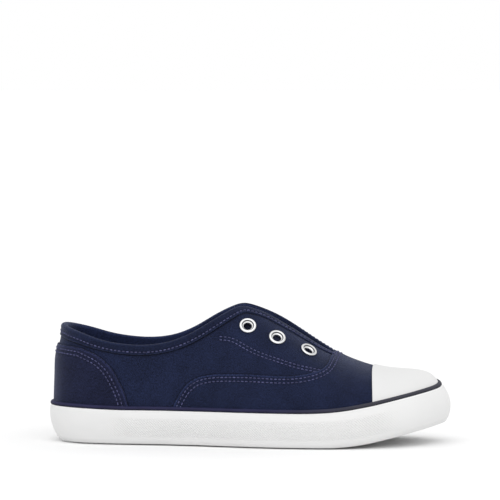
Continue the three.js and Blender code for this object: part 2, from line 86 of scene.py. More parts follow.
STITCH = {"pitch": 2.7, "length": 1.95, "width": 0.85, "height": 0.5, "above": 0.02}
VAMP_ROWS = (1.9, 4.3)  # stitch rows, mm in from the overlay's edge
COUNTER_ROWS = (3.0, 5.4)
COUNTER_CLOSER = 0.9  # mm by which they come nearer to the edge round the heel
COLLAR_ROW = 1.5  # mm in from the binding's lower edge
EYESTAY_GAP = 2.1  # mm between the two rows of the eyestay's seam

NAVY = (0.0074, 0.0109, 0.0306)
WHITE = (0.705, 0.705, 0.703)

# ---- Tables, shared with the construction ----

# percent of LENGTH and of BALL_WIDTH: outer side, inner side, ridge, and the section's squareness
LAST = np.array([
    # side_x side_y inner_x inner_y ridge_x ridge_y squareness
    (1.5, 0, 1.5, 0, 16.2, 0, 3.0),
    (4.6, -24.4, 4.6, 24.4, 16.9, 0, 3.0),
    (13.1, -35.4, 13.1, 34.1, 19.2, 0, 2.9),
    (23.1, -37.2, 23.1, 32.9, 25.4, 0.6, 2.7),
    (33.1, -39.0, 33.1, 31.1, 33.8, 1.2, 2.4),
    (43.1, -43.9, 43.1, 32.9, 43.1, 1.8, 2.2),
    (53.1, -50.0, 53.1, 39.0, 53.1, 2.4, 2.1),
    (62.7, -53.0, 62.7, 47.0, 62.7, 3.7, 2.2),
    (72.3, -51.8, 72.7, 51.2, 71.9, 4.9, 2.4),
    (81.2, -44.5, 81.9, 49.4, 79.2, 6.1, 2.7),
    (89.2, -31.1, 90.2, 42.7, 82.3, 7.3, 3.1),
    (94.8, -11.6, 95.4, 29.9, 84.2, 7.9, 3.7),
    (97.3, 9.8, 97.3, 9.8, 85.0, 7.9, 4.0),
])
SPAN = len(LAST) - 1
# percent of INSTEP, at even steps from heel to toe
RIDGE = [112.4, 115.7, 119.1, 121.9, 122.5, 117.4, 107.3, 97.4, 84, 68.9, 58.3, 52.3, 51.5, 52.1]
# collar: percent of LENGTH, then height on the outer and the inner side in percent of INSTEP
COLLAR = [(3.5, 86, 86), (7.7, 82, 82.4), (13.5, 76.4, 77.3), (19.2, 73.1, 74.4), (25, 72.3, 73.8),
          (30.8, 74.5, 76.4), (36.2, 80.3, 83), (40.8, 88, 91), (45, 95.5, 97.3)]
# throat: percent of LENGTH, then distance from the ridge on either side in percent of BALL_WIDTH
THROAT = [(48.5, 17, 16), (51.5, 13.5, 12.5), (55.4, 12, 9.8), (60, 12.5, 6.1), (65.4, 11, 3.7),
          (70.4, 8.5, 3.7), (72, 0, 0)]
# sidewall: place along each half, reach of its bulge and of its foot in mm
SIDE_REACH = np.array([(0, 3.3, -2.6), (2, 4.1, 1.2), (5, 4.4, 3), (8, 4.6, 3.2), (10, 5.7, 3.8),
                       (12, 7, 5.1)])
SIDEWALL = {"height": 22.6, "heel_rise": 1.4, "heel_run": (0, 62), "toe_rise": 1.9, "toe_run": (165, 215),
            "tip_rise": 2.6, "tip_at": 12.8, "tip_run": 0.75, "lip": 2.1, "bulge_at": 0.62,
            "floor_gap": 0.75, "ledge": 3.4}
# diamonds pressed into the sidewall: where they fade in and out, in x and in share of its height
KNURL = {"pitch": 1.7, "rear": (34, 60), "front": (214, 232), "low": (0.17, 0.24), "high": (0.72, 0.8)}
STRIPE = {"height": 2.5, "toe_height": 2.3, "thickness": 2.0, "toe_thickness": 1.7, "sunk": 0.25,
          "toe_run": (205, 240), "greying": (140, 215)}
QUARTERS_END, VAMP_END = 8.9, 9.75  # places round the foot where they end, under the vamp and the cap

# edges in side view, mm
VAMP_EDGE = [(83.5, 21.5), (87.1, 28.9), (91.4, 36.1), (96.5, 41.2), (103, 44.3), (114.6, 46.0), (133, 46.2),
             (152, 45.4), (166, 45.8), (176, 47.6), (181.8, 50.3), (184.0, 53.6), (185.2, 57.0)]
VAMP_PEAK = 185.2  # where its edge crosses the ridge
COUNTER_EDGE = [(56.3, 20), (53.3, 31), (50.4, 38), (45.5, 46.9), (40.5, 52.6), (34.4, 57.0), (27, 60.1),
                (19, 61.8)]
COUNTER_PEAK = 62.5  # its height at the back of the heel
# the cap's rear edge in plan, and the places round the foot between which it lies
CAP_EDGE = {"middle": 210.8, "rise": 2.5, "half_width": 42.0, "centre": 5.0, "between": (8.0, 11.0)}
EYESTAY_SEAM = [(115.3, 69.9), (121, 69.3), (127, 66.9), (139, 61.0), (152.6, 56.4), (163.7, 52.9),
                (172.8, 50.7), (181, 49.0)]
EYELETS = [(132.0, 76.6), (151.0, 69.3), (171.0, 61.1)]
EYELET = {"above": 0.25, "sides": 48}
HOLE = {"inside": 3.1, "edge": 3.5}  # mm; cloth ends under each eyelet's flange


# ---- Curves ----

def spline(values, start, end=None):
    """Smooth curve through evenly spaced values; past an end it is level, free or a loop."""
    values = np.asarray(values, float)
    end = end or start

    def padded(c):
        if start == "loop":
            return np.concatenate([c[-1:], c, c[:2]])
        before = c[1] if start == "level" else 2 * c[0] - c[1]
        after = c[-2] if end == "level" else 2 * c[-1] - c[-2]
        return np.concatenate([[before], c, [after, after]])

    # the controls settle until the curve passes through every value
    controls = values.copy()
    for _ in range(90):
        c = padded(controls)
        controls = controls + values - (c[:-3] + 4 * c[1:-2] + c[2:-1]) / 6
    c = padded(controls)

    def curve(t):
        t = np.asarray(t, float)
        i = np.clip(np.floor(t).astype(int), 0, len(c) - 4)
        u = t - i
        return (c[i] * (1 - u) ** 3 + c[i + 1] * (3 * u**3 - 6 * u**2 + 4)
                + c[i + 2] * (-3 * u**3 + 3 * u**2 + 3 * u + 1) + c[i + 3] * u**3) / 6

    return curve


def smoothstep(x, low, high):
    t = np.clip((np.asarray(x, float) - low) / (high - low), 0, 1)
    return t * t * (3 - 2 * t)


def unit(vectors):
    return vectors / np.maximum(np.linalg.norm(vectors, axis=-1, keepdims=True), 1e-12)


def lerp(a, b, t):
    return a + (b - a) * t


def bisect(is_below, low, high, rounds=34):
    low, high = np.broadcast_arrays(np.asarray(low, float), high)
    for _ in range(rounds):
        middle = (low + high) / 2
        below = is_below(middle)
        low, high = np.where(below, middle, low), np.where(below, high, middle)
    return (low + high) / 2


# ---- The last ----

def around(outer, inner, size):
    return spline(np.concatenate([outer, inner[-2:0:-1]]) / 100 * size, "loop")


outline_x = around(LAST[:, 0], LAST[:, 2], LENGTH)
outline_y = around(LAST[:, 1], LAST[:, 3], BALL_WIDTH)
ridge_x = spline(LAST[:, 4] / 100 * LENGTH, "level")
ridge_y = spline(LAST[:, 5] / 100 * BALL_WIDTH, "level")
squareness = spline(LAST[:, 6], "level")
ridge_height = spline(np.array(RIDGE) / 100 * INSTEP, "free")


def ridge_z(x):
    return ridge_height(np.clip(x / LENGTH, 0, 1) * (len(RIDGE) - 1))


def sole_z(x):
    ahead = np.clip(np.asarray(x, float) - FLAT_END, 0, None)
    bend = np.minimum(ahead, SPRING_ARC)
    return bend**2 / (2 * SPRING_RADIUS) + (ahead - bend) * SPRING_ARC / SPRING_RADIUS


def arch_z(x):
    share = np.clip((x - ARCH["start"]) / (ARCH["end"] - ARCH["start"]), 0, 1)
    return ARCH["lift"] * np.sin(np.pi * share) ** 2


def along_half(tau):
    """Place from the heel (0) to the toe (SPAN), on either side."""
    tau = np.mod(tau, 2 * SPAN)
    return np.minimum(tau, 2 * SPAN - tau)


def folded(tau, v):
    """The same places with v at most 1: past the ridge they lie on the foot's other side."""
    return np.mod(np.where(v > 1, -tau, tau), 2 * SPAN), np.where(v > 1, 2 - v, v)


def surface(tau, v):
    """Points of the bare last in mm."""
    tau, v = folded(*np.broadcast_arrays(np.asarray(tau, float), np.asarray(v, float)))
    v = np.clip(v, 1e-9, 1)
    s = along_half(tau)
    foot, side = outline_x(tau), outline_y(tau)
    top_x, top_y, power = ridge_x(s), ridge_y(s), squareness(s)
    cos, sin = np.cos(v * np.pi / 2), np.sin(v * np.pi / 2)
    radius = (cos**power + sin**power) ** (-1 / power)
    x = lerp(top_x, foot, radius * cos)
    floor = sole_z(foot) + FEATHER
    return np.stack([x, lerp(top_y, side, radius * cos), lerp(floor, ridge_z(x), radius * sin)], -1)


STEP = 1e-3  # of tau or v, for slopes


def tangents(tau, v):
    """How the surface runs with tau and with v."""
    v = np.maximum(v, 2 * STEP)
    along = (surface(tau + STEP, v) - surface(tau - STEP, v)) / (2 * STEP)
    up = (surface(tau, v + STEP) - surface(tau, v - STEP)) / (2 * STEP)
    return along, up


def outward(tau, v):
    return unit(np.cross(*tangents(tau, v)))


def raised(tau, v, lift):
    return surface(tau, v) + outward(tau, v) * np.asarray(lift, float)[..., None]


def skin(tau, v, lift):
    """The raised surface with the cloth's creases."""
    return raised(tau, v, lift + relief(tau, v))


def beside(tau, out, z):
    """Points beside the feather line in plan, out from it, at height z."""
    behind, here, ahead = (np.mod(tau + step, 2 * SPAN) for step in (-STEP, 0, STEP))
    run_x, run_y = outline_x(ahead) - outline_x(behind), outline_y(ahead) - outline_y(behind)
    size = np.hypot(run_x, run_y)
    x = outline_x(here) + run_y / size * out
    y = outline_y(here) - run_x / size * out
    return np.stack([x, y, np.broadcast_to(z, x.shape)], -1)


def place_along(x, v):
    """The place along the outer side where the surface at v reaches x."""
    return bisect(lambda s: surface(s, v)[..., 0] < x, np.zeros(np.shape(x)), float(SPAN))


def spot(x, z):
    """The place (s, v) on the outer side that shows at x and z in side view."""
    x, z = np.asarray(x, float), np.asarray(z, float)
    v = bisect(lambda h: surface(place_along(x, h), h)[..., 2] < z, np.zeros(x.shape), 1.0)
    return place_along(x, v), v


def height_at(tau, z, lift=0.0):
    """The v where the surface, raised by lift, reaches height z."""
    return bisect(lambda v: raised(tau, v, lift)[..., 2] < z, np.zeros(np.shape(tau)), 0.95)


# soft troughs and ridges of the cloth, in side view
CREASES = [
    # x, z, degrees, along, across, height, side (-1 outer, 1 inner, 0 both)
    (100, 52, 12, 30, 8, -0.5, 0),
    (74, 40, 80, 14, 9, -0.35, 0),
    (118, 58, 30, 22, 6, 0.4, 0),
    (150, 50, 160, 26, 4.5, -0.35, 0),
    (196, 44, 105, 14, 4, -0.45, -1),
    (203, 46, 100, 14, 4, -0.4, 1),
    (140, 36, 5, 34, 6, 0.4, 0),
    (30, 38, 100, 14, 8, 0.25, 0),
    (3, 54, 90, 8, 10, 0.6, 0),
]


CREASE_FADE = (24, 32)  # mm above the sole over which they begin


def relief(tau, v):
    """How far the creases lift the cloth, in mm."""
    point = surface(tau, v)
    side = np.where(folded(tau, v)[0] < SPAN, -1, 1)
    total = np.zeros(point.shape[:-1])
    for x, z, turn, along, across, height, which in CREASES:
        c, s = math.cos(math.radians(turn)), math.sin(math.radians(turn))
        dx, dz = point[..., 0] - x, point[..., 2] - z
        a, b = dx * c + dz * s, -dx * s + dz * c
        bump = height * np.exp(-((a / along) ** 2) - (b / across) ** 2)
        total += np.where((which == 0) | (side == which), bump, 0.0)
    upright = smoothstep(np.abs(np.asarray(v) - 1), 0.1, 0.55)
    fade = smoothstep(point[..., 2] - sole_z(point[..., 0]), *CREASE_FADE)
    return total * upright * fade


def walk(tau, v, heading, distance, count=6):
    """Moves points over the surface by distance, each along its own 3-D heading."""
    distance = np.asarray(distance, float)
    for _ in range(count):
        along, up = tangents(tau, v)
        normal = unit(np.cross(along, up))
        heading = unit(heading - (heading * normal).sum(-1, keepdims=True) * normal)
        step = heading * (distance / count)[..., None]
        aa, au, uu = (along * along).sum(-1), (along * up).sum(-1), (up * up).sum(-1)
        sa, su = (step * along).sum(-1), (step * up).sum(-1)
        det = aa * uu - au * au
        tau = tau + (sa * uu - su * au) / det
        v = v + (su * aa - sa * au) / det
    return tau, v


# ---- Lines on the surface ----

RIM_END = len(COLLAR) + len(THROAT) - 1


RIM_STEPS = 800


def rim_of(column):
    """The rim's (s, v) along the outer side (column 1) or the inner side (column 2)."""
    x, z = (np.array(COLLAR) / 100)[:, [0, column]].T * [[LENGTH], [INSTEP]]
    collar_s, collar_v = spot(x, z)
    collar_s[0], collar_v[0] = 0, height_at(np.array(0.0), z[0])
    x, gap = (np.array(THROAT) / 100)[:, [0, column]].T * [[LENGTH], [BALL_WIDTH]]

    def is_below(v):
        s = place_along(x, v)
        return np.abs(surface(s, v)[..., 1] - ridge_y(s)) > gap

    throat_v = bisect(is_below, 0.0, np.ones(x.shape))
    throat_s = place_along(x, throat_v)
    throat_s[-1], throat_v[-1] = place_along(x[-1], 1 - STEP), 1
    s, v = np.append(collar_s, throat_s), np.append(collar_v, throat_v)
    return spline(s, "free", "level"), spline(v, "level", "free")


RIM = {1: rim_of(1), -1: rim_of(2)}
THROAT_FRONT = float(RIM[1][0](RIM_END))


def rim_height(s, sign):
    s = np.asarray(s, float)
    along, up = RIM[sign]
    q = bisect(lambda q: along(q) < s, np.zeros(s.shape), float(RIM_END))
    return np.where(s >= THROAT_FRONT - STEP, 1.0, np.minimum(up(q), 1 - 1e-6))


def run_lengths(points):
    return np.concatenate([[0], np.cumsum(np.linalg.norm(np.diff(points, axis=0), axis=1))])


def even(points, count=None, pitch=None, closed=False):
    """Parameters, in steps of the given points, that space them evenly."""
    sums = run_lengths(points)
    if count is None:
        count = max(int(round(sums[-1] / pitch)), 2)
    targets = np.linspace(0, sums[-1], count + (0 if closed else 1), endpoint=not closed)
    return np.interp(targets, sums, np.arange(len(points))), sums[-1]


def resampled(tau, v, count):
    """The same line on the surface, evenly cut."""
    at, _ = even(surface(tau, v), count=count)
    index = np.arange(len(tau))
    return np.interp(at, index, tau), np.interp(at, index, v)


def eyestay_seam(count):
    """Upper row of the seam below the eyelets, on the outer side."""
    s, v = spot(*np.array(EYESTAY_SEAM).T)
    t = np.linspace(0, len(s) - 1, 400)
    return resampled(spline(s, "free")(t), spline(v, "free")(t), count)


def directions(tau, v, closed=False):
    """Along the line, and across it over the surface."""
    points = surface(tau, v)
    if closed:
        run = np.roll(points, -1, 0) - np.roll(points, 1, 0)
    else:
        run = np.gradient(points, axis=0)
    run = unit(run)
    return run, unit(np.cross(run, outward(tau, v)))


def offset(tau, v, distance, closed=False):
    """The line moved over the surface by distance, across itself."""
    _, across = directions(tau, v, closed)
    return walk(tau, v, across, np.broadcast_to(distance, np.shape(tau)))


def whole_rim(count):
    """The rim as a closed line, evenly cut: outer side forward, inner side back."""
    q = np.linspace(0, RIM_END, RIM_STEPS)
    q = np.concatenate([q, q[-2::-1]])
    sign = np.where(np.arange(len(q)) < RIM_STEPS, 1, -1)

    def places(q, sign):
        s = np.where(sign > 0, RIM[1][0](q), RIM[-1][0](q))
        v = np.where(sign > 0, RIM[1][1](q), RIM[-1][1](q))
        return np.where(sign > 0, s, 2 * SPAN - s), np.minimum(v, 1)

    at, length = even(surface(*places(q, sign)), count=count, closed=True)
    tau, v = places(np.interp(at, np.arange(len(q)), q), np.where(at < RIM_STEPS - 0.5, 1, -1))
    return tau, v, length


def edge_line(table, peak, s_ends, v_ends, mirrored, count):
    """An overlay's edge up the outer side to its peak, and down the inner side."""
    s, v = spot(*np.array(table).T)
    s, v = np.append(s, peak[0]), np.append(v, peak[1])
    t = np.linspace(0, len(s) - 1, 500)
    s, v = spline(s, *s_ends)(t), spline(v, *v_ends)(t)
    back_s, back_v = mirrored(s[-2::-1], v[-2::-1])
    return resampled(np.concatenate([s, back_s]), np.concatenate([v, back_v]), count)


def vamp_edge(count):
    """From the sole on the outer side over the ridge to the sole on the inner side."""
    peak = (float(place_along(VAMP_PEAK, 1 - STEP)), 1.0)
    return edge_line(VAMP_EDGE, peak, ("free", "level"), ("free",), lambda s, v: (s, 2 - v), count)


def counter_edge(count):
    """From the sole on the outer side round the heel to the sole on the inner side."""
    peak = (0.0, float(height_at(np.array(0.0), COUNTER_PEAK)))
    return edge_line(COUNTER_EDGE, peak, ("free",), ("free", "level"), lambda s, v: (-s, v), count)


# ---- Meshes ----

upper_low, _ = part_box("upper")
OUTLINE = outline_y(np.linspace(0, 2 * SPAN, 2000))
ORIGIN = np.array([
    LAST[0, 0] / 100 * LENGTH - upper_low[0] * 1000,
    OUTLINE.min() - upper_low[1] * 1000,
    0.0,
])


def add_mesh(name, points, faces, material, cloth=None, sharp=None):
    """A piece from points in mm. cloth holds each point's place on the material, in mm."""
    mesh = bpy.data.meshes.new(name)
    mesh.from_pydata(((points - ORIGIN) / 1000).tolist(), [], faces)
    if cloth is not None:
        layer = mesh.attributes.new("cloth", "FLOAT_VECTOR", "POINT")
        layer.data.foreach_set("vector", np.ascontiguousarray(cloth, np.float32).ravel())
    mesh.polygons.foreach_set("use_smooth", np.ones(len(mesh.polygons), bool))
    if sharp:
        mesh.set_sharp_from_angle(angle=math.radians(sharp))
    mesh.update()
    piece = bpy.data.objects.new(name, mesh)
    bpy.context.scene.collection.objects.link(piece)
    mesh.materials.append(material)
    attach(piece, "root")
    return piece


def grid_faces(rows, columns, ring=False, tube=False):
    """Quads of a grid of points; ring joins its last row to its first, tube its columns."""
    i = np.arange(rows if ring else rows - 1)[:, None]
    j = np.arange(columns if tube else columns - 1)[None, :]
    next_i, next_j = (i + 1) % rows, (j + 1) % columns
    corners = [i * columns + j, next_i * columns + j, next_i * columns + next_j, i * columns + next_j]
    return np.stack([np.broadcast_to(c, (i.size, j.size)) for c in corners], -1).reshape(-1, 4)


def merged(points, faces):
    """Which points stay when those in one place are merged, and the faces that still have three corners."""
    keys = np.round(points / 1e-3).astype(np.int64)
    _, first, inverse = np.unique(keys, axis=0, return_index=True, return_inverse=True)
    kept = []
    for face in inverse.reshape(-1)[faces].tolist():
        corners = [c for k, c in enumerate(face) if c != face[k - 1]]
        if len(set(corners)) == len(corners) and len(corners) > 2:
            kept.append(corners)
    return first, kept


def welded(patches):
    """Joins (tau, v) grids into one set of places and faces, with shared corners merged."""
    tau = np.concatenate([patch[0].ravel() for patch in patches])
    v = np.concatenate([patch[1].ravel() for patch in patches])
    faces, start = [], 0
    for patch in patches:
        rows, columns = patch[0].shape
        ring = len(patch) > 2 and patch[2]
        faces.append(grid_faces(rows, columns, ring) + start)
        start += rows * columns
    first, faces = merged(surface(tau, v), np.concatenate(faces))
    return tau[first], v[first], faces


AROUND = np.linspace(0, 2 * SPAN, 1200)
AROUND_MM = run_lengths(surface(AROUND, np.full(AROUND.shape, 0.25)))
WALL_MM = 110.0  # a typical length from the feather line to the ridge
EDGE_STEPS = 3


def cloth_places(tau, v, over_ridge):
    """Millimetres along and up the cloth, for weaves, unbroken over the ridge or round the heel."""
    tau, v = folded(tau, v)
    side = np.where(tau > SPAN, -1.0, 1.0)
    along = np.interp(along_half(tau), AROUND, AROUND_MM)
    down = (1 - v) * WALL_MM
    along, down = (along, side * down) if over_ridge else (side * along, down)
    return np.stack([along, down, np.zeros_like(along)], -1)


def sheet(name, patches, outer, inner, material, round_out=0.5, seams=None, holes=False,
          over_ridge=False):
    """A closed sheet between two lifts, with rounded edges. seams names the piece's side of each seam."""
    tau, v, faces = welded(patches)
    if holes:
        tau, v, faces = punched(tau, v, faces)
    top, bottom = (skin(tau, v, lift(tau, v) if callable(lift) else np.full(tau.shape, float(lift)))
                   for lift in (outer, inner))
    count = len(tau)
    used = {}
    for face in faces:
        for a, b in zip(face, face[1:] + face[:1]):
            used[(a, b)] = used.get((a, b), 0) + 1
    border = [edge for edge in used if (edge[1], edge[0]) not in used]
    starts = sorted({corner for edge in border for corner in edge})
    slot_of = {vertex: k for k, vertex in enumerate(starts)}
    normal = unit(top - bottom)
    away = np.zeros((len(starts), 3))
    for a, b in border:
        across = np.cross(top[b] - top[a], normal[a])
        away[slot_of[a]] += across
        away[slot_of[b]] += across
    away = unit(away)
    cloth = cloth_places(tau, v, over_ridge)
    points, places = [top, bottom], [cloth] * 2
    half = np.linalg.norm(top - bottom, axis=1)[starts][:, None] * round_out
    rounds = [starts]
    for k in range(1, EDGE_STEPS):
        angle = math.pi * k / EDGE_STEPS
        share = (1 - math.cos(angle)) / 2
        first = 2 * count + (k - 1) * len(starts)
        rounds.append(range(first, first + len(starts)))
        points.append(lerp(top[starts], bottom[starts], share) + away * half * math.sin(angle))
        places.append(cloth[starts])
    rounds.append([count + vertex for vertex in starts])
    body = list(faces) + [[count + c for c in reversed(face)] for face in faces]
    for a, b in border:
        a, b = slot_of[a], slot_of[b]
        body += [[low[b], low[a], high[a], high[b]] for low, high in zip(rounds[:-1], rounds[1:])]
    piece = add_mesh(name, np.vstack(points), body, material, np.vstack(places))
    if seams:
        near = seam_distances(tau, v, seams)
        layer = piece.data.attributes.new("seam", "FLOAT_VECTOR", "POINT")
        rows = np.vstack([near, near] + [near[starts]] * (EDGE_STEPS - 1))
        layer.data.foreach_set("vector", np.ascontiguousarray(rows, np.float32).ravel())
    return piece


def side_of(line, closed=False):
    """Measures how far places lie across a line on the surface, in mm; negative on its other side."""
    points = surface(*line)
    _, across = directions(*line, closed)
    tree = KDTree(len(points))
    for i, point in enumerate(points):
        tree.insert(point, i)
    tree.balance()

    def measure(at):
        found = [tree.find(point) for point in at]
        index = np.array([hit[1] for hit in found])
        gap = np.array([hit[2] for hit in found])
        side = ((at - points[index]) * across[index]).sum(-1)
        # further off, the nearest point's direction says little and the gap stands in
        return np.where(gap < 6, side, np.copysign(gap, side))

    return measure


def seam_distances(tau, v, side):
    """Distance from the nearest overlay's edge, from the binding's lower edge and from the eyestay's seam."""
    at = surface(tau, v)
    to_vamp, to_counter, to_binding, to_eyestay = SEAMS
    vamp, counter = to_vamp(at), to_counter(at)
    edge = {"quarters": np.minimum(-vamp, counter), "vamp": vamp, "counter": -counter}[side]
    stay = np.stack([measure(at) for measure in to_eyestay], -1)
    stay = stay[np.arange(len(at)), np.abs(stay).argmin(-1)]
    return np.stack([edge, to_binding(at), stay], -1)


def find_seams():
    """Measures for the vamp's edge, the counter's edge, the binding's lower edge and both eyestay seams."""
    rim_tau, rim_v, _ = whole_rim(1600)
    _, across = directions(rim_tau, rim_v, closed=True)
    lower = walk(rim_tau, rim_v, across, binding_reach(rim_tau, rim_v))
    stays = []
    s, v = eyestay_seam(700)
    for sign in (1, -1):
        measure = side_of((sign * s, v))
        stays.append(measure if sign > 0 else lambda at, measure=measure: -measure(at))
    return side_of(vamp_edge(2400)), side_of(counter_edge(1200)), side_of(lower, closed=True), stays


def round_heel(tau, v):
    return 1 - smoothstep(surface(tau, v)[:, 0], *BINDING["heel_run"])


def binding_reach(tau, v):
    return BINDING["outside"] + BINDING["heel_extra"] * round_heel(tau, v)


def loft(name, rings, material, places, sharp=None):
    """A closed ring swept through rings, each a row of points along it; places suits the points."""
    sections = np.stack(rings, 1)
    rows, columns = sections.shape[:2]
    faces = grid_faces(rows, columns, ring=True, tube=True).tolist()
    cloth = np.stack(places, 1).reshape(-1, 3)
    return add_mesh(name, sections.reshape(-1, 3), faces, material, cloth, sharp)


def flip(piece):
    piece.data.flip_normals()
    return piece


# ---- Materials ----

class Nodes:
    """A short way to write the nodes of a material or of the world."""

    def __init__(self, owner, shader):
        owner.use_nodes = True
        self.owner, self.tree = owner, owner.node_tree
        self.shader = self.tree.nodes[shader]

    def add(self, kind, inputs=(), **settings):
        node = self.tree.nodes.new("ShaderNode" + kind)
        for key, value in settings.items():
            setattr(node, key, value)
        for key, value in dict(inputs).items():
            self.put(node.inputs[key], value)
        return node

    def put(self, socket, value):
        if isinstance(value, bpy.types.NodeSocket):
            self.tree.links.new(value, socket)
        elif socket.type == "RGBA":
            socket.default_value = (*value, 1)
        else:
            socket.default_value = value

    def math(self, operation, *values):
        return self.add("Math", enumerate(values), operation=operation).outputs[0]

    def total(self, values):
        result = values[0]
        for value in values[1:]:
            result = self.math("ADD", result, value)
        return result

    def attribute(self, name):
        return self.add("Attribute", attribute_name=name).outputs["Vector"]

    def cloth(self):
        return self.attribute("cloth")

    def split(self, vector):
        return self.add("SeparateXYZ", {0: vector}).outputs

    def place(self):
        return self.add("TexCoord").outputs["Object"]

    def noise(self, vector, scale, detail=3.0, roughness=0.55):
        inputs = {"Vector": vector, "Scale": scale, "Detail": detail, "Roughness": roughness}
        return self.add("TexNoise", inputs).outputs["Fac"]

    def ramp(self, value, low, high, out_low=0.0, out_high=1.0, kind="LINEAR"):
        inputs = {"Value": value, "From Min": low, "From Max": high, "To Min": out_low, "To Max": out_high}
        return self.add("MapRange", inputs, interpolation_type=kind).outputs[0]

    def bell(self, value, middle, width):
        """1 where value is at the middle, falling smoothly to 0 either side."""
        away = self.math("DIVIDE", self.math("SUBTRACT", value, middle), width)
        return self.math("EXPONENT", self.math("MULTIPLY", self.math("MULTIPLY", away, away), -1.0))

    def mix(self, factor, a, b):
        return self.add("Mix", {0: factor, 6: a, 7: b}, data_type="RGBA").outputs[2]

    def scaled(self, color, factor):
        return self.add("VectorMath", {0: color, "Scale": factor}, operation="SCALE").outputs[0]

    def bump(self, height, strength, distance, **normal):
        inputs = {"Height": height, "Strength": strength, "Distance": distance, **normal}
        return self.add("Bump", inputs).outputs[0]

    def finish(self, color, roughness, **sockets):
        sockets = {"Base_Color": color, "Roughness": roughness, **sockets}
        for name, value in sockets.items():
            self.put(self.shader.inputs[name.replace("_", " ")], value)
        return self.owner


def material(name):
    return Nodes(bpy.data.materials.new(name), "Principled BSDF")


def shade(color, factor):
    return tuple(channel * factor for channel in color)


def weave(nodes, pitch):
    """Plain weave: threads of the given pitch in mm, crossing over and under."""
    wobble = nodes.math("MULTIPLY", nodes.noise(nodes.cloth(), 0.35, 2.0), 0.5)
    along, up, _ = nodes.split(nodes.cloth())
    warp, weft = (nodes.math("SINE", nodes.math("MULTIPLY", nodes.math("ADD", way, wobble), math.pi / pitch))
                  for way in (along, up))
    return nodes.math("MULTIPLY", warp, weft)


# marks the binding's inner leg, which its material paints paler: painted light inside the shoe
INSIDE_MARK = 40.0  # added to a place on the binding where it lies inside the shoe


def canvas(name, color, pitch=0.62, light=1.9, part="plain", rows=()):
    """Piece-dyed cotton: over-and-under threads, some paler than others, over a slow mottle.

    Painted light on the cloth: a painted highlight where it folds over an edge, painted shade in the
    troughs where stitch rows pull it down, and a painted shadow in the corner beside an overlay. The
    binding gets painted highlights along its roll and lower edge, and its inner leg inside the shoe is
    painted paler.
    """
    nodes = material(name)
    checks = weave(nodes, pitch)
    place = nodes.cloth()
    threads = nodes.noise(place, 1.4, 4.0, 0.8)
    turned = nodes.add("VectorRotate", {"Vector": place, "Angle": 0.7}).outputs[0]
    slubs = nodes.noise(turned, 0.55, 2.0, 0.6)
    mottle = nodes.noise(place, 0.06, 4.0, 0.65)
    tone = nodes.total([nodes.ramp(checks, -1, 1, 0.0, 0.3), nodes.ramp(threads, 0.38, 0.64, -0.2, 1.0),
                        nodes.ramp(slubs, 0.36, 0.64, -0.09, 0.09),
                        nodes.ramp(mottle, 0.3, 0.72, -0.16, 0.22)])
    tone = nodes.math("MAXIMUM", nodes.math("MINIMUM", tone, 1.0), 0.0)
    base = nodes.mix(tone, shade(color, 0.4), shade(color, light * 1.06))
    height = nodes.math("ADD", nodes.math("MULTIPLY", checks, 0.6), nodes.math("MULTIPLY", threads, 1.1))
    if part == "binding":
        _, down, up = nodes.split(place)
        inside = nodes.math("GREATER_THAN", down, INSIDE_MARK / 2)
        # painted highlights along the roll's crest and the lower edge, and painted light that makes the inner
        # leg paler inside the shoe
        painted_light = nodes.total([1.0, nodes.math("MULTIPLY", nodes.bell(down, 0.7, 0.8), 0.28),
                              nodes.math("MULTIPLY", nodes.bell(up, 0.35, 0.5), 0.3),
                              nodes.math("MULTIPLY", inside, 0.8)])
        dip = nodes.bell(up, 1.5, 0.6)
    elif part != "plain":
        edge, tape, stay = nodes.split(nodes.attribute("seam"))
        across = stay if part == "quarters" else edge
        dip = nodes.total([nodes.bell(across, row, 0.6) for row in rows])
        if part == "quarters":
            # painted shadow below the binding's lower edge and beside the vamp's and counter's edges
            painted_light = nodes.math("MULTIPLY", nodes.ramp(tape, 0.2, 1.6, 0.3, 1.0, "SMOOTHSTEP"),
                                nodes.ramp(edge, 0.0, 1.5, 0.2, 1.0, "SMOOTHSTEP"))
        else:
            # painted highlight along the overlay's folded edge
            painted_light = nodes.math("ADD", nodes.math("MULTIPLY", nodes.bell(edge, 0.35, 0.45), 0.8), 1.0)
    if part != "plain":
        # the colour is scaled by the painted light, and the stitch rows' troughs get painted shade on top of
        # their real dip
        base = nodes.scaled(base, nodes.math("MULTIPLY", painted_light, nodes.ramp(dip, 0, 1, 1.0, 0.8)))
        height = nodes.math("SUBTRACT", height, nodes.math("MULTIPLY", dip, 1.6))
    return nodes.finish(base, 0.85, Normal=nodes.bump(height, 0.8, 0.00018), Sheen_Weight=0.26,
                        Sheen_Roughness=0.4, Sheen_Tint=(0.55, 0.6, 0.8), Specular_IOR_Level=0.1)


# above this mark the sidewall's white gets a painted highlight on its lip
LIP_MARK = 24.0  # height given to the sidewall's lip, above all of its texture


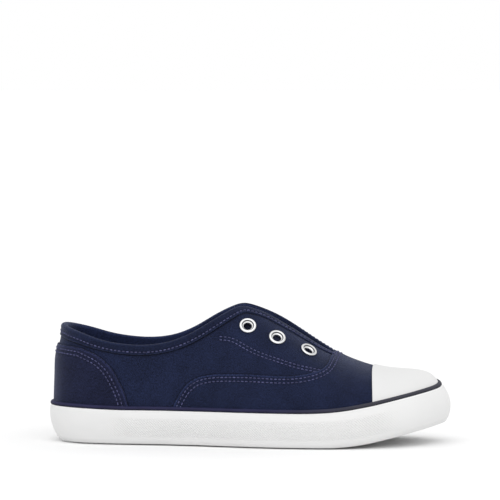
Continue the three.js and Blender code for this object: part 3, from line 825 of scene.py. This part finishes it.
def white_rubber(name, color=WHITE, knurl=False):
    """Moulded white rubber; the sidewall carries a fine diamond texture along its middle, with painted
    shade in the diamonds' dips and a painted highlight on its lip.
    """
    nodes = material(name)
    place = nodes.place()
    cloud = nodes.noise(place, 30.0, 4.0)
    base = nodes.mix(nodes.ramp(cloud, 0.3, 0.7), shade(color, 0.97), color)
    roughness = nodes.ramp(nodes.noise(place, 120.0, 3.0), 0.3, 0.7, 0.42, 0.54)
    normal = nodes.bump(nodes.noise(place, 900.0, 2.0), 0.12, 0.0002)
    if knurl:
        along, up, band = nodes.split(nodes.cloth())
        turn = math.pi / KNURL["pitch"]
        rise, fall = (nodes.math("SINE", nodes.math("MULTIPLY", nodes.math(way, along, up), turn))
                      for way in ("ADD", "SUBTRACT"))
        diamonds = nodes.math("ABSOLUTE", nodes.math("MULTIPLY", rise, fall))
        normal = nodes.bump(nodes.math("MULTIPLY", diamonds, band), 0.8, 0.0003, Normal=normal)
        # painted shade in the dips between the diamonds, on top of their bump
        dip = nodes.math("MULTIPLY", nodes.ramp(diamonds, 0.0, 0.45, 1.0, 0.0), band)
        base = nodes.mix(nodes.math("MULTIPLY", dip, 0.1), base, shade(WHITE, 0.84))
        # painted highlight: the lip is made whiter
        base = nodes.mix(nodes.math("GREATER_THAN", up, LIP_MARK - 0.5), base, shade(WHITE, 1.12))
    return nodes.finish(base, roughness, Normal=normal, Specular_IOR_Level=0.4)


def navy_rubber(name):
    """Dull navy rubber, with a painted highlight that pales it toward the top of the stripe, and greyer
    toward the toe.
    """
    nodes = material(name)
    place = nodes.place()
    _, up, toe = nodes.split(nodes.cloth())
    cloud = nodes.ramp(nodes.noise(place, 80.0), 0.3, 0.7, -0.15, 0.15)
    # painted highlight: paler toward the top of the stripe's section
    tone = nodes.math("ADD", nodes.ramp(up, 0.1, 0.9), cloud)
    navy = nodes.mix(tone, (0.006, 0.006, 0.018), (0.026, 0.026, 0.07))
    grey = nodes.mix(tone, (0.022, 0.022, 0.03), (0.046, 0.046, 0.06))
    normal = nodes.bump(nodes.noise(place, 700.0), 0.2, 0.0002)
    # greyer toward the toe
    return nodes.finish(nodes.mix(toe, navy, grey), 0.65, Normal=normal, Specular_IOR_Level=0.12)


def thread(name):
    """Twisted sewing thread, paler than the cloth and worn unevenly."""
    nodes = material(name)
    place = nodes.place()
    strands = {"Vector": place, "Scale": 900.0, "Distortion": 2.0}
    twist = nodes.add("TexWave", strands, bands_direction="DIAGONAL").outputs["Fac"]
    wear = nodes.ramp(nodes.noise(place, 320.0, 1.0), 0.3, 0.7, 0.55, 1.25)
    base = nodes.scaled(nodes.mix(twist, (0.042, 0.046, 0.11), (0.095, 0.1, 0.21)), wear)
    return nodes.finish(base, 0.75, Normal=nodes.bump(twist, 0.5, 0.0001), Sheen_Weight=0.05,
                        Specular_IOR_Level=0.12)


def nickel(name):
    """Bright plating, with painted shade in the groove of the eyelet's funnel."""
    nodes = material(name)
    place = nodes.place()
    roughness = nodes.ramp(nodes.noise(place, 400.0), 0.3, 0.7, 0.16, 0.28)
    cloud = nodes.ramp(nodes.noise(place, 150.0), 0.3, 0.7)
    base = nodes.mix(cloud, (0.66, 0.66, 0.665), (0.76, 0.76, 0.765))
    # painted shade: the funnel's groove is made dark
    base = nodes.mix(nodes.split(nodes.cloth())[0], base, (0.12, 0.12, 0.13))
    normal = nodes.bump(nodes.noise(place, 1500.0), 0.05, 0.0001)
    return nodes.finish(base, roughness, Normal=normal, Metallic=1.0)


def elastic(name):
    """Ribs of covered rubber running across the foot."""
    nodes = material(name)
    along, up, _ = nodes.split(nodes.cloth())
    rib = nodes.math("SINE", nodes.math("MULTIPLY", along, 2 * math.pi / 1.1))
    knit = nodes.math("SINE", nodes.math("MULTIPLY", up, 2 * math.pi / 0.7))
    height = nodes.math("ADD", rib, nodes.math("MULTIPLY", knit, 0.35))
    base = nodes.mix(nodes.ramp(height, -1.3, 1.3), (0.008, 0.0105, 0.027), (0.018, 0.022, 0.052))
    return nodes.finish(base, 0.85, Normal=nodes.bump(height, 0.6, 0.0003), Sheen_Weight=0.05,
                        Specular_IOR_Level=0.1)


MATERIALS = {
    "canvas": canvas("navy_canvas", NAVY, part="quarters", rows=(0.0, EYESTAY_GAP)),
    "vamp": canvas("navy_vamp_canvas", NAVY, part="vamp", rows=VAMP_ROWS),
    "binding": canvas("navy_binding", shade(NAVY, 0.95), pitch=0.5, light=1.7, part="binding"),
    "counter": canvas("navy_counter_canvas", (0.0077, 0.0096, 0.0265), part="counter", rows=COUNTER_ROWS),
    # the lining's navy is raised 2.3 times: painted light standing in for the little light inside the shoe
    "lining": canvas("navy_lining", shade(NAVY, 2.3), pitch=0.45, light=1.6),
    "insole": canvas("navy_insole", shade(NAVY, 0.9), pitch=0.8, light=1.7),
    "sidewall": white_rubber("white_sidewall", knurl=True),
    # the cap's white is 0.955 of the sidewall's: painted shade that offsets the stronger light on its upward
    # face
    "cap": white_rubber("white_cap", shade(WHITE, 0.955)),
    "outsole": white_rubber("white_outsole"),
    "stripe": navy_rubber("navy_stripe"),
    "thread": thread("pale_navy_thread"),
    "nickel": nickel("nickel"),
    "elastic": elastic("navy_elastic"),
}

# ---- Upper ----

BOTTOM = 0.03  # share of the wall where cloth ends behind the sidewall
RIM_TUCK = 0.008  # share of the wall by which cloth ends below the rim, inside the binding


def steps(count, low=0.0, high=1.0):
    return np.linspace(low, high, count + 1)


def split_steps(first, split, second, low=0.0):
    """Steps of one size up to split, and of another from there to 1."""
    return np.concatenate([steps(first, low, split)[:-1], steps(second, split, 1.0)])


def on_side(s, v, sign):
    """A grid on one side of the foot, turned so that its faces look outward."""
    tau = np.broadcast_to(s, v.shape) * sign
    return (tau, v) if sign > 0 else (tau[::-1], v[::-1])


def punched(tau, v, faces):
    """Takes faces out round each eyelet and draws the hole's edge into a circle."""
    points = surface(tau, v)
    x, z = np.array(EYELETS).T
    s, h = spot(x, z)
    tau, v = tau.copy(), v.copy()
    for sign in (1, -1):
        for centre in surface(sign * s, h):
            away = points - centre
            gap = np.linalg.norm(away, axis=-1)
            gone = gap < HOLE["inside"]
            cut = [face for face in faces if gone[face].any()]
            faces = [face for face in faces if not gone[face].any()]
            edge = np.unique(np.concatenate(cut))
            edge = edge[~gone[edge]]
            inward = -away[edge] / gap[edge, None]
            tau[edge], v[edge] = walk(tau[edge], v[edge], inward, gap[edge] - HOLE["edge"])
    used = np.unique(np.concatenate(faces))
    place = np.full(len(tau), -1)
    place[used] = np.arange(len(used))
    return tau[used], v[used], [place[face].tolist() for face in faces]


def half_columns(end, count):
    """Places from the heel to end, even on the surface, with more of them at the throat's front."""
    fine = np.linspace(0, end, 900)
    at, _ = even(surface(fine, np.full(fine.shape, 0.4)), count=count)
    s = np.interp(at, np.arange(len(fine)), fine)
    extra = THROAT_FRONT - np.array([0.3, 0.2, 0.12, 0.06, 0.02, 0.0])
    return np.unique(np.concatenate([s, extra[extra < end]]))


def under_rim(end, columns, rows):
    """Patches from the bottom up to the rim along both sides."""
    s = half_columns(end, columns)
    patches = []
    for sign in (1, -1):
        top = rim_height(s, sign)
        top = np.where(top < 1, top - RIM_TUCK, top)
        patches.append(on_side(s[:, None], lerp(BOTTOM, top[:, None], steps(rows)[None, :]), sign))
    return patches


def make_quarters():
    piece = sheet("upper_quarters", under_rim(QUARTERS_END, 260, 60), 0.0, -CANVAS, MATERIALS["canvas"],
                  seams="quarters", holes=True)
    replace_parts(piece, "upper")


def make_lining():
    sheet("upper_lining", under_rim(float(SPAN), 240, 48), LINING["outer"], LINING["inner"],
          MATERIALS["lining"], holes=True)


def from_throat_front(tau, v):
    front = surface(np.array(THROAT_FRONT), np.array(1.0))
    return np.linalg.norm(surface(tau, v) - front, axis=-1)


def binding_thin(tau, v):
    """The tape flattens where it runs in under the vamp at the front of the throat."""
    return lerp(BINDING["front"], 1.0, smoothstep(from_throat_front(tau, v), *BINDING["front_run"]))


def make_binding():
    """Folded tape round the rim: its outer leg with a stitched dip, a round roll and its inner leg."""
    tau, v, length = whole_rim(640)
    _, across = directions(tau, v, closed=True)
    reach = binding_reach(tau, v)
    thin = binding_thin(tau, v)
    roll = (BINDING["roll"] + BINDING["heel_roll"] * round_heel(tau, v)) * thin
    rings, places = [], []
    run = np.linspace(0, length, len(tau), endpoint=False)

    def ring(down, lift):
        rings.append(skin(*walk(tau, v, across, down), lift))
        # marks the inner leg, where the binding's material paints painted light
        mark = np.where(lift < -1.0, INSIDE_MARK, 0.0)
        places.append(np.stack([run, down + mark, reach - down + mark], -1))

    # outer leg: mm short of the tape's lower edge, and height as a share of its thickness
    for short, share in [(0, 0), (-0.1, 0.5), (0.25, 0.92), (0.9, 0.9), (1.5, 0.72), (2.2, 0.95)]:
        ring(reach - short, thin * BINDING["outer"] * share)
    ring(reach / 2, thin * BINDING["outer"] * 1.08)
    middle = LINING["inner"] / 2 + 0.1
    for turn in np.linspace(0, math.pi, 15):
        ring(roll * (1 - math.sin(turn)), middle + roll * math.cos(turn))
    # inner leg: mm down from the rim, and mm out from the lining
    deep = BINDING["inside"]
    for down, out in [(4.5, -0.6), (deep - 0.5, -0.5), (deep, -0.25), (deep, 0)]:
        ring(np.full(tau.shape, down), np.full(tau.shape, LINING["inner"] + out))
    loft("upper_binding", rings, MATERIALS["binding"], places)


def vamp_lift(base):
    """The vamp climbs over the ends of the binding at the front of the throat."""
    def lift(tau, v):
        return base + VAMP["climb"] * (1 - smoothstep(from_throat_front(tau, v), *VAMP["climb_run"]))
    return lift


def make_vamp():
    s, v = vamp_edge(400)
    half = len(s) // 2 + 1
    # a hair of slope keeps the columns in order where the edge runs straight up
    s = np.maximum.accumulate(s[:half] + np.arange(half) * 1e-7)
    front = np.linspace(s[-1], VAMP_END, 34)[1:]
    columns = np.append(s, front)
    top = np.append(v[:half], np.ones(len(front)))
    low = np.minimum(BOTTOM, top)
    heights = lerp(low[:, None], top[:, None], split_steps(26, 0.9, 10)[None, :])
    patches = [on_side(columns[:, None], heights, sign) for sign in (1, -1)]
    sheet("upper_vamp", patches, vamp_lift(VAMP["outer"]), vamp_lift(VAMP["inner"]), MATERIALS["vamp"],
          seams="vamp", over_ridge=True)


def make_counter():
    tau, v = counter_edge(170)
    heights = lerp(BOTTOM, v[:, None], split_steps(18, 0.9, 6)[None, :])
    patch = (np.broadcast_to(tau[:, None], heights.shape)[::-1], heights[::-1])
    piece = sheet("heel_counter_cover", [patch], COUNTER["outer"], COUNTER["inner"], MATERIALS["counter"],
                  seams="counter")
    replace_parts(piece, "heel_counter")


def cap_edge_x(y):
    return CAP_EDGE["middle"] + CAP_EDGE["rise"] * ((y - CAP_EDGE["centre"]) / CAP_EDGE["half_width"]) ** 2


def make_cap():
    patches = []
    v = split_steps(40, 0.86, 10, low=BOTTOM)
    for sign in (1, -1):
        def behind(s):
            point = surface(sign * s, v)
            return point[..., 0] < cap_edge_x(point[..., 1])
        first, last = CAP_EDGE["between"]
        start = bisect(behind, np.full(v.shape, first), last)
        s = lerp(start[None, :], float(SPAN), split_steps(5, 0.03, 100)[:, None])
        patches.append(on_side(s, np.broadcast_to(v[None, :], s.shape), sign))
    piece = sheet("toe_cap_cover", patches, CAP["outer"], CAP["inner"], MATERIALS["cap"],
                  round_out=0.4)
    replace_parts(piece, "toe_cap")


# ---- Sole ----

def sidewall_top(tau):
    x = outline_x(tau)
    toe_rise = SIDEWALL["toe_rise"] * smoothstep(x, *SIDEWALL["toe_run"])
    heel_rise = SIDEWALL["heel_rise"] * (1 - smoothstep(x, *SIDEWALL["heel_run"]))
    tip_rise = SIDEWALL["tip_rise"] * np.exp(-(((tau - SIDEWALL["tip_at"]) / SIDEWALL["tip_run"]) ** 2))
    return sole_z(x) + SIDEWALL["height"] + toe_rise + tip_rise + heel_rise


def cover_lift(tau):
    """How far out the outermost cloth or cap stands behind the sidewall's top."""
    x = outline_x(np.mod(tau, 2 * SPAN))
    counter = COUNTER["outer"] * (1 - smoothstep(x, 52, 60))
    vamp = VAMP["outer"] * smoothstep(x, 80, 90)
    cap = (CAP["outer"] - VAMP["outer"]) * smoothstep(x, 204, 214)
    return counter + vamp + cap


def spline_through(xs, ys):
    """Smooth curve through unevenly spaced values, level at both ends."""
    slopes = np.gradient(ys, xs)
    slopes[0] = slopes[-1] = 0

    def curve(x):
        i = np.clip(np.searchsorted(xs, x, side="right") - 1, 0, len(xs) - 2)
        h = xs[i + 1] - xs[i]
        u = (x - xs[i]) / h
        a, b = ys[i], ys[i + 1]
        return (a * (1 + 2 * u) * (1 - u) ** 2 + b * u * u * (3 - 2 * u)
                + slopes[i] * h * u * (1 - u) ** 2 - slopes[i + 1] * h * u * u * (1 - u))

    return curve


SOLE_COLUMNS = 520


def reaches(tau):
    """How far the sidewall's bulge and foot reach out."""
    s = along_half(tau)
    return (spline_through(SIDE_REACH[:, 0], SIDE_REACH[:, column])(s) for column in (1, 2))


def outline_columns():
    fine = np.linspace(0, 2 * SPAN, 3001)
    points = surface(fine, np.full(fine.shape, 0.05))
    at, length = even(points, count=SOLE_COLUMNS, closed=True)
    return np.interp(at, np.arange(len(fine)), fine), length


def make_sidewall():
    """Rings from the ledge inside, down round the foot, up the bulge, over the lip and down behind it."""
    tau, length = outline_columns()
    x = outline_x(tau)
    top = sidewall_top(tau)
    room = cover_lift(tau) - 0.15
    edge = beside(tau, 0.0, 0.0)
    out = beside(tau, 1.0, 0.0) - edge

    def reach_at_top(lift):
        v = height_at(tau, top, lift)
        return ((raised(tau, v, lift) - edge) * out).sum(-1)

    top_reach, inner_reach = reach_at_top(room + SIDEWALL["lip"]), reach_at_top(room)
    bulge, foot = reaches(tau)
    at = SIDEWALL["bulge_at"]
    rings, places = [], []
    run = np.linspace(0, length, len(tau), endpoint=False)
    knurled = smoothstep(x, *KNURL["rear"]) * (1 - smoothstep(x, *KNURL["front"]))

    def parabola(share):
        return (foot * ((share - at) * (share - 1)) / at + bulge * (share * (share - 1)) / (at * (at - 1))
                + top_reach * (share * (share - at)) / (1 - at))

    def ring(reach, z_of, height, band=0.0):
        flat = beside(tau, reach, 0.0)
        flat[:, 2] = z_of(flat[:, 0])
        rings.append(flat)
        places.append(np.stack([run, np.full(tau.shape, height), band * knurled], -1))

    def level(share):
        return lambda px: lerp(sole_z(px) + SIDEWALL["floor_gap"], top, share)

    def above_feather(drop):
        return lambda px: sole_z(px) + FEATHER - drop

    for reach, share in [(-SIDEWALL["ledge"], 0), (foot - 3.0, 0), (foot - 0.6, 0.006), (foot - 0.12, 0.02),
                         (lerp(foot, parabola(0.07), 0.5), 0.07)]:
        ring(reach, level(share), 0)
    for share in steps(22, 0.1, 0.93):
        band = float(smoothstep(share, *KNURL["low"]) * (1 - smoothstep(share, *KNURL["high"])))
        ring(parabola(share), level(share), share * SIDEWALL["height"], band)
    for reach, share in [(top_reach - 0.05, 0.965), (top_reach - 0.35, 0.99), (top_reach - 0.9, 1.0),
                         (lerp(inner_reach, top_reach, 0.3), 1.0), (inner_reach, 0.99), (inner_reach, 0.75)]:
        ring(reach, level(share), LIP_MARK)
    for reach, drop in [(np.maximum(inner_reach, room), -2.0), (room, 0.3), (-SIDEWALL["ledge"], 0.3)]:
        ring(reach, above_feather(drop), LIP_MARK)
    piece = loft("sidewall", rings, MATERIALS["sidewall"], places, sharp=60)
    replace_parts(flip(piece), "foxing")


def make_stripe():
    tau, _ = outline_columns()
    x = outline_x(tau)
    base = sidewall_top(tau) - STRIPE["sunk"]
    cover = cover_lift(tau)
    toe = smoothstep(x, *STRIPE["toe_run"])
    thickness = lerp(STRIPE["thickness"], STRIPE["toe_thickness"], toe)
    height = lerp(STRIPE["height"], STRIPE["toe_height"], toe)
    rings, places = [], []
    # shares of its thickness and of its height, round the section
    section = [(-0.3, 0.0), (0.55, -0.02), (0.85, 0.08), (1.0, 0.28), (1.0, 0.48), (0.93, 0.68),
               (0.72, 0.86), (0.4, 0.97), (0.05, 1.0), (-0.3, 0.95)]
    for share, up in section:
        z = base + height * up
        lift = cover + thickness * share
        rings.append(raised(tau, height_at(tau, z, lift), lift))
        # third share: how far toward the toe the stripe turns greyer
        places.append(np.stack([tau, np.full(tau.shape, up), smoothstep(x, *STRIPE["greying"])], -1))
    piece = loft("sidewall_stripe", rings, MATERIALS["stripe"], places)
    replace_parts(flip(piece), "foxing_stripe")


def slab(name, inset, rows, columns, bottom, top, material):
    """A slab inside the feather line; bottom and top give heights from the plan and the share across."""
    s, t = np.linspace(0, SPAN, rows), steps(columns)
    outer, inner = beside(s, -inset, 0.0), beside(-s, -inset, 0.0)
    plan = lerp(outer[:, None, :], inner[:, None, :], t[None, :, None])
    share = np.tile(np.abs(2 * t - 1), (rows, 1))
    share[[0, -1]] = 1
    low, high = plan.copy(), plan.copy()
    low[..., 2], high[..., 2] = bottom(plan, share), top(plan, share)
    width = columns + 1
    count = rows * width
    faces = grid_faces(rows, width)
    side = np.arange(rows - 1) * width
    near = np.stack([side, side + width, side + width + count, side + count], -1)
    far = (near + columns)[:, [1, 0, 3, 2]]
    points = np.vstack([low.reshape(-1, 3), high.reshape(-1, 3)])
    first, faces = merged(points, np.concatenate([faces[:, ::-1], faces + count, near, far]))
    points = points[first]
    return add_mesh(name, points, faces, material, points * (1, 1, 0), sharp=50)


def edge_distance(plan):
    width = np.linalg.norm(plan[:, -1] - plan[:, 0], axis=-1)[:, None]
    t = steps(plan.shape[1] - 1)[None, :]
    side = np.minimum(t, 1 - t) * width
    ends = np.minimum(plan[..., 0] - TREAD["heel"], TREAD["toe"] - plan[..., 0])
    return np.minimum(side, ends)


def make_outsole():
    def bottom(plan, share):
        x, y = plan[..., 0], plan[..., 1]
        zigzag = np.abs(((y / TREAD["zigzag"]) % 1.0) - 0.5) * TREAD["swing"]
        wave = np.abs(((x + zigzag) / TREAD["pitch"]) % 1.0 - 0.5) * 2
        groove = smoothstep(wave, *TREAD["groove"]) * smoothstep(edge_distance(plan), *TREAD["border"])
        band = smoothstep(np.abs(x - TREAD["shank"]), *TREAD["shank_run"])
        return sole_z(x) + arch_z(x) + TREAD["depth"] * groove * band

    def top(plan, share):
        return sole_z(plan[..., 0]) + FEATHER - 0.35

    piece = slab("outsole_tread", TREAD["inset"], 300, 96, bottom, top, MATERIALS["outsole"])
    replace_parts(flip(piece), "outsole")


def make_insole():
    """A cupped pad, thicker under the heel."""
    def bottom(plan, share):
        return sole_z(plan[..., 0]) + FEATHER

    def top(plan, share):
        thickness = lerp(INSOLE["heel"], INSOLE["ball"], smoothstep(plan[..., 0], *INSOLE["thins"]))
        return bottom(plan, share) + thickness + share**2 * INSOLE["cup"]

    piece = slab("insole_cover", INSOLE["inset"], 170, 40, bottom, top, MATERIALS["insole"])
    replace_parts(flip(piece), "insole")


# ---- Elastic gusset ----

def make_gusset():
    x = np.linspace(GUSSET["start"], GUSSET["end"], 70)
    s = place_along(x, np.full(x.shape, 1 - STEP))
    low = np.interp(x, *np.array(GUSSET["edge"]).T)
    v = lerp(low[:, None], (2 - low)[:, None], steps(70)[None, :])
    tau = np.broadcast_to(s[:, None], v.shape)

    def sink(extra):
        def lift(tau, v):
            ridge = 1 - smoothstep(np.abs(v - 1), 0.1, 0.5)
            rear = 1 - smoothstep(surface(tau, v)[..., 0], *GUSSET["rear_run"])
            return -GUSSET["depth"] - extra - GUSSET["ridge"] * ridge - GUSSET["rear"] * rear
        return lift

    piece = sheet("throat_elastic", [(tau, v)], sink(0.0), sink(GUSSET["thickness"]), MATERIALS["elastic"],
                  over_ridge=True)
    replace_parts(piece, "elastic_gusset")


# ---- Eyelets ----

def eyelet_profile():
    """Radius and height of the rolled flange, funnel, barrel and inner flange; and where shade is painted."""
    turns = np.linspace(-0.3, 0.6 * math.pi, 10)
    crown = [(4.5 + 0.95 * math.cos(turn), 0.3 + 0.7 * math.sin(turn)) for turn in turns]
    groove = [(3.7, 0.72), (3.6, 0.4), (3.54, 0.08)]
    barrel = [(3.35, -0.1), (3.0, -0.2), (2.7, -0.4), (2.55, -0.8), (2.5, -1.3), (2.5, -1.8), (2.6, -2.2),
              (2.8, -2.4)]
    back = [(3.6, -2.45), (3.8, -2.25), (3.6, -2.05), (3.0, -1.95), (3.15, -1.0), (3.4, -0.4), (3.6, -0.3),
            (5.2, -0.2)]
    shaded_groove = [0.0] * len(crown) + [1.0] * len(groove) + [0.0] * len(barrel + back)
    return np.array(crown + groove + barrel + back), shaded_groove


def make_eyelets():
    profile, shaded_groove = eyelet_profile()
    turns = np.linspace(0, 2 * math.pi, EYELET["sides"], endpoint=False)
    for side, sign in (("lateral", 1), ("medial", -1)):
        for i, (s, v) in enumerate(zip(*spot(*np.array(EYELETS).T)), 1):
            normal, centre = outward(sign * s, v), skin(sign * s, v, EYELET["above"])
            across = unit(np.cross(normal, [0, 0, 1.0]))
            up = np.cross(across, normal)
            radial = across * np.cos(turns)[:, None] + up * np.sin(turns)[:, None]
            rings = [centre + radial * radius + normal * height for radius, height in profile]
            places = [np.tile((share, 0, 0), (len(turns), 1)) for share in shaded_groove]
            name = f"eyelet_{side}_{i}"
            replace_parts(loft(name + "_ring", rings, MATERIALS["nickel"], places), name)


# ---- Stitches ----

def stitch_template():
    """A short pillow of thread along x, in unit size."""
    rings, sides = 5, 8
    along = math.pi * ((np.arange(rings) + 0.5) / rings - 0.5)
    turn = 2 * math.pi * np.arange(sides) / sides
    radius = np.cos(along)[:, None] ** 0.7
    points = np.stack([np.sin(along)[:, None] + 0 * turn, radius * np.cos(turn), radius * np.sin(turn)], -1)
    faces = grid_faces(rings, sides, tube=True).tolist()
    faces += [list(range(sides)), [(rings - 1) * sides + j for j in reversed(range(sides))]]
    return points.reshape(-1, 3), faces


def stitches(name, rows):
    """Joined stitches. Each row is (tau, v, lift): a line on the surface and its height."""
    template, faces = stitch_template()
    points, body = [], []
    for tau, v, lift in rows:
        line = skin(tau, v, lift)
        at, _ = even(line, pitch=STITCH["pitch"])
        index = np.arange(len(line))
        centre, normal = (np.stack([np.interp(at, index, column) for column in values.T], -1)
                          for values in (line, outward(tau, v)))
        normal = unit(normal)
        run = unit(np.gradient(centre, axis=0))
        across = unit(np.cross(normal, run))
        for i in range(len(centre)):
            start = len(points) * len(template)
            points.append(centre[i] + template[:, :1] * run[i] * STITCH["length"] / 2
                          + template[:, 1:2] * across[i] * STITCH["width"] / 2
                          + template[:, 2:] * normal[i] * STITCH["height"])
            body.extend([[c + start for c in face] for face in faces])
    return add_mesh(name, np.vstack(points), body, MATERIALS["thread"])


def make_stitches():
    tau, v, _ = whole_rim(500)
    t, h = offset(tau, v, BINDING["outside"] - COLLAR_ROW, closed=True)
    stitches("stitches_collar", [(t, h, (BINDING["outer"] - 0.1) * binding_thin(tau, v))])

    tau, v = vamp_edge(500)
    rows = []
    for distance in VAMP_ROWS:
        t, h = offset(tau, v, distance)
        rows.append((t, h, vamp_lift(VAMP["outer"] + STITCH["above"])(t, h)))
    stitches("stitches_vamp", rows)

    tau, v = counter_edge(300)
    closer = COUNTER_CLOSER * (1 - smoothstep(surface(tau, v)[:, 0], 8, 42))
    lift = COUNTER["outer"] + STITCH["above"]
    rows = [(*offset(tau, v, closer - distance), lift) for distance in COUNTER_ROWS]
    stitches("stitches_counter", rows)

    s, v = eyestay_seam(160)
    rows = []
    for sign in (1, -1):
        for distance in (0.0, EYESTAY_GAP):
            rows.append((*offset(sign * s, v, sign * distance), STITCH["above"]))
    stitches("stitches_eyestay", rows)


# ---- Build ----

SEAMS = find_seams()
make_quarters()
make_lining()
make_vamp()
make_binding()
make_counter()
make_cap()
make_sidewall()
make_stripe()
make_outsole()
make_insole()
make_gusset()
make_eyelets()
make_stitches()

# ---- Stage ----

FLOOR = 40.0  # m, half the floor's side
KEY = {"toward": (0.12, -0.66, 0.74), "tightness": 5.0, "strength": 0.9}
SOFTBOXES = {
    # position, target, width and height in m, watts
    "softbox_top": ((0.05, -0.2, 1.3), (0, 0, 0.03), (1.2, 1.0), 0.4),
    "softbox_front": ((0.3, -1.5, 0.9), (0, 0, 0.05), (1.2, 0.8), 0.5),
}
# degrees, m, and mm of lens and sensor
CAMERA = {"azimuth": 6.0, "elevation": 3.0, "distance": 2.2, "lens": 244.8, "sensor": 36.0,
          "target": (0.00092, 0.0007, 0.12415)}


def make_floor():
    corners = [(x * FLOOR, y * FLOOR, 0) for x, y in [(-1, -1), (1, -1), (1, 1), (-1, 1)]]
    mesh = bpy.data.meshes.new("floor")
    mesh.from_pydata(corners, [], [(0, 1, 2, 3)])
    mesh.materials.append(material("floor_white").finish((0.88, 0.88, 0.88), 0.9, Specular_IOR_Level=0.0))
    floor = bpy.data.objects.new("floor", mesh)
    bpy.context.scene.collection.objects.link(floor)


def make_sky():
    """An even white surround with a broad soft light from the front and above."""
    world = bpy.data.worlds.new("studio")
    sky = Nodes(world, "Background")
    heading = sky.add("TexCoord").outputs["Generated"]
    toward = sky.add("VectorMath", {0: heading, 1: KEY["toward"]}, operation="DOT_PRODUCT").outputs["Value"]
    lobe = sky.math("POWER", sky.math("MAXIMUM", toward, 0.0), KEY["tightness"])
    sky.put(sky.shader.inputs["Color"], (1, 1, 1))
    sky.put(sky.shader.inputs["Strength"], sky.math("MULTIPLY_ADD", lobe, KEY["strength"], 1.0))
    bpy.context.scene.world = world


def aimed(name, data, position, target):
    thing = bpy.data.objects.new(name, data)
    thing.location = position
    thing.rotation_euler = (Vector(target) - Vector(position)).to_track_quat("-Z", "Y").to_euler()
    bpy.context.scene.collection.objects.link(thing)
    return thing


def make_softboxes():
    for name, (position, target, size, power) in SOFTBOXES.items():
        light = bpy.data.lights.new(name, "AREA")
        light.shape = "RECTANGLE"
        light.size, light.size_y = size
        light.energy = power
        aimed(name, light, position, target)


def make_camera():
    azimuth, elevation = math.radians(CAMERA["azimuth"]), math.radians(CAMERA["elevation"])
    back = Vector((math.sin(azimuth) * math.cos(elevation), -math.cos(azimuth) * math.cos(elevation),
                      math.sin(elevation)))
    data = bpy.data.cameras.new("camera")
    data.lens = CAMERA["lens"]
    data.sensor_width = CAMERA["sensor"]
    target = Vector(CAMERA["target"])
    bpy.context.scene.camera = aimed("camera", data, target + back * CAMERA["distance"], target)


make_floor()
make_sky()
make_softboxes()
make_camera()
bpy.context.scene.view_settings.view_transform = "Standard"
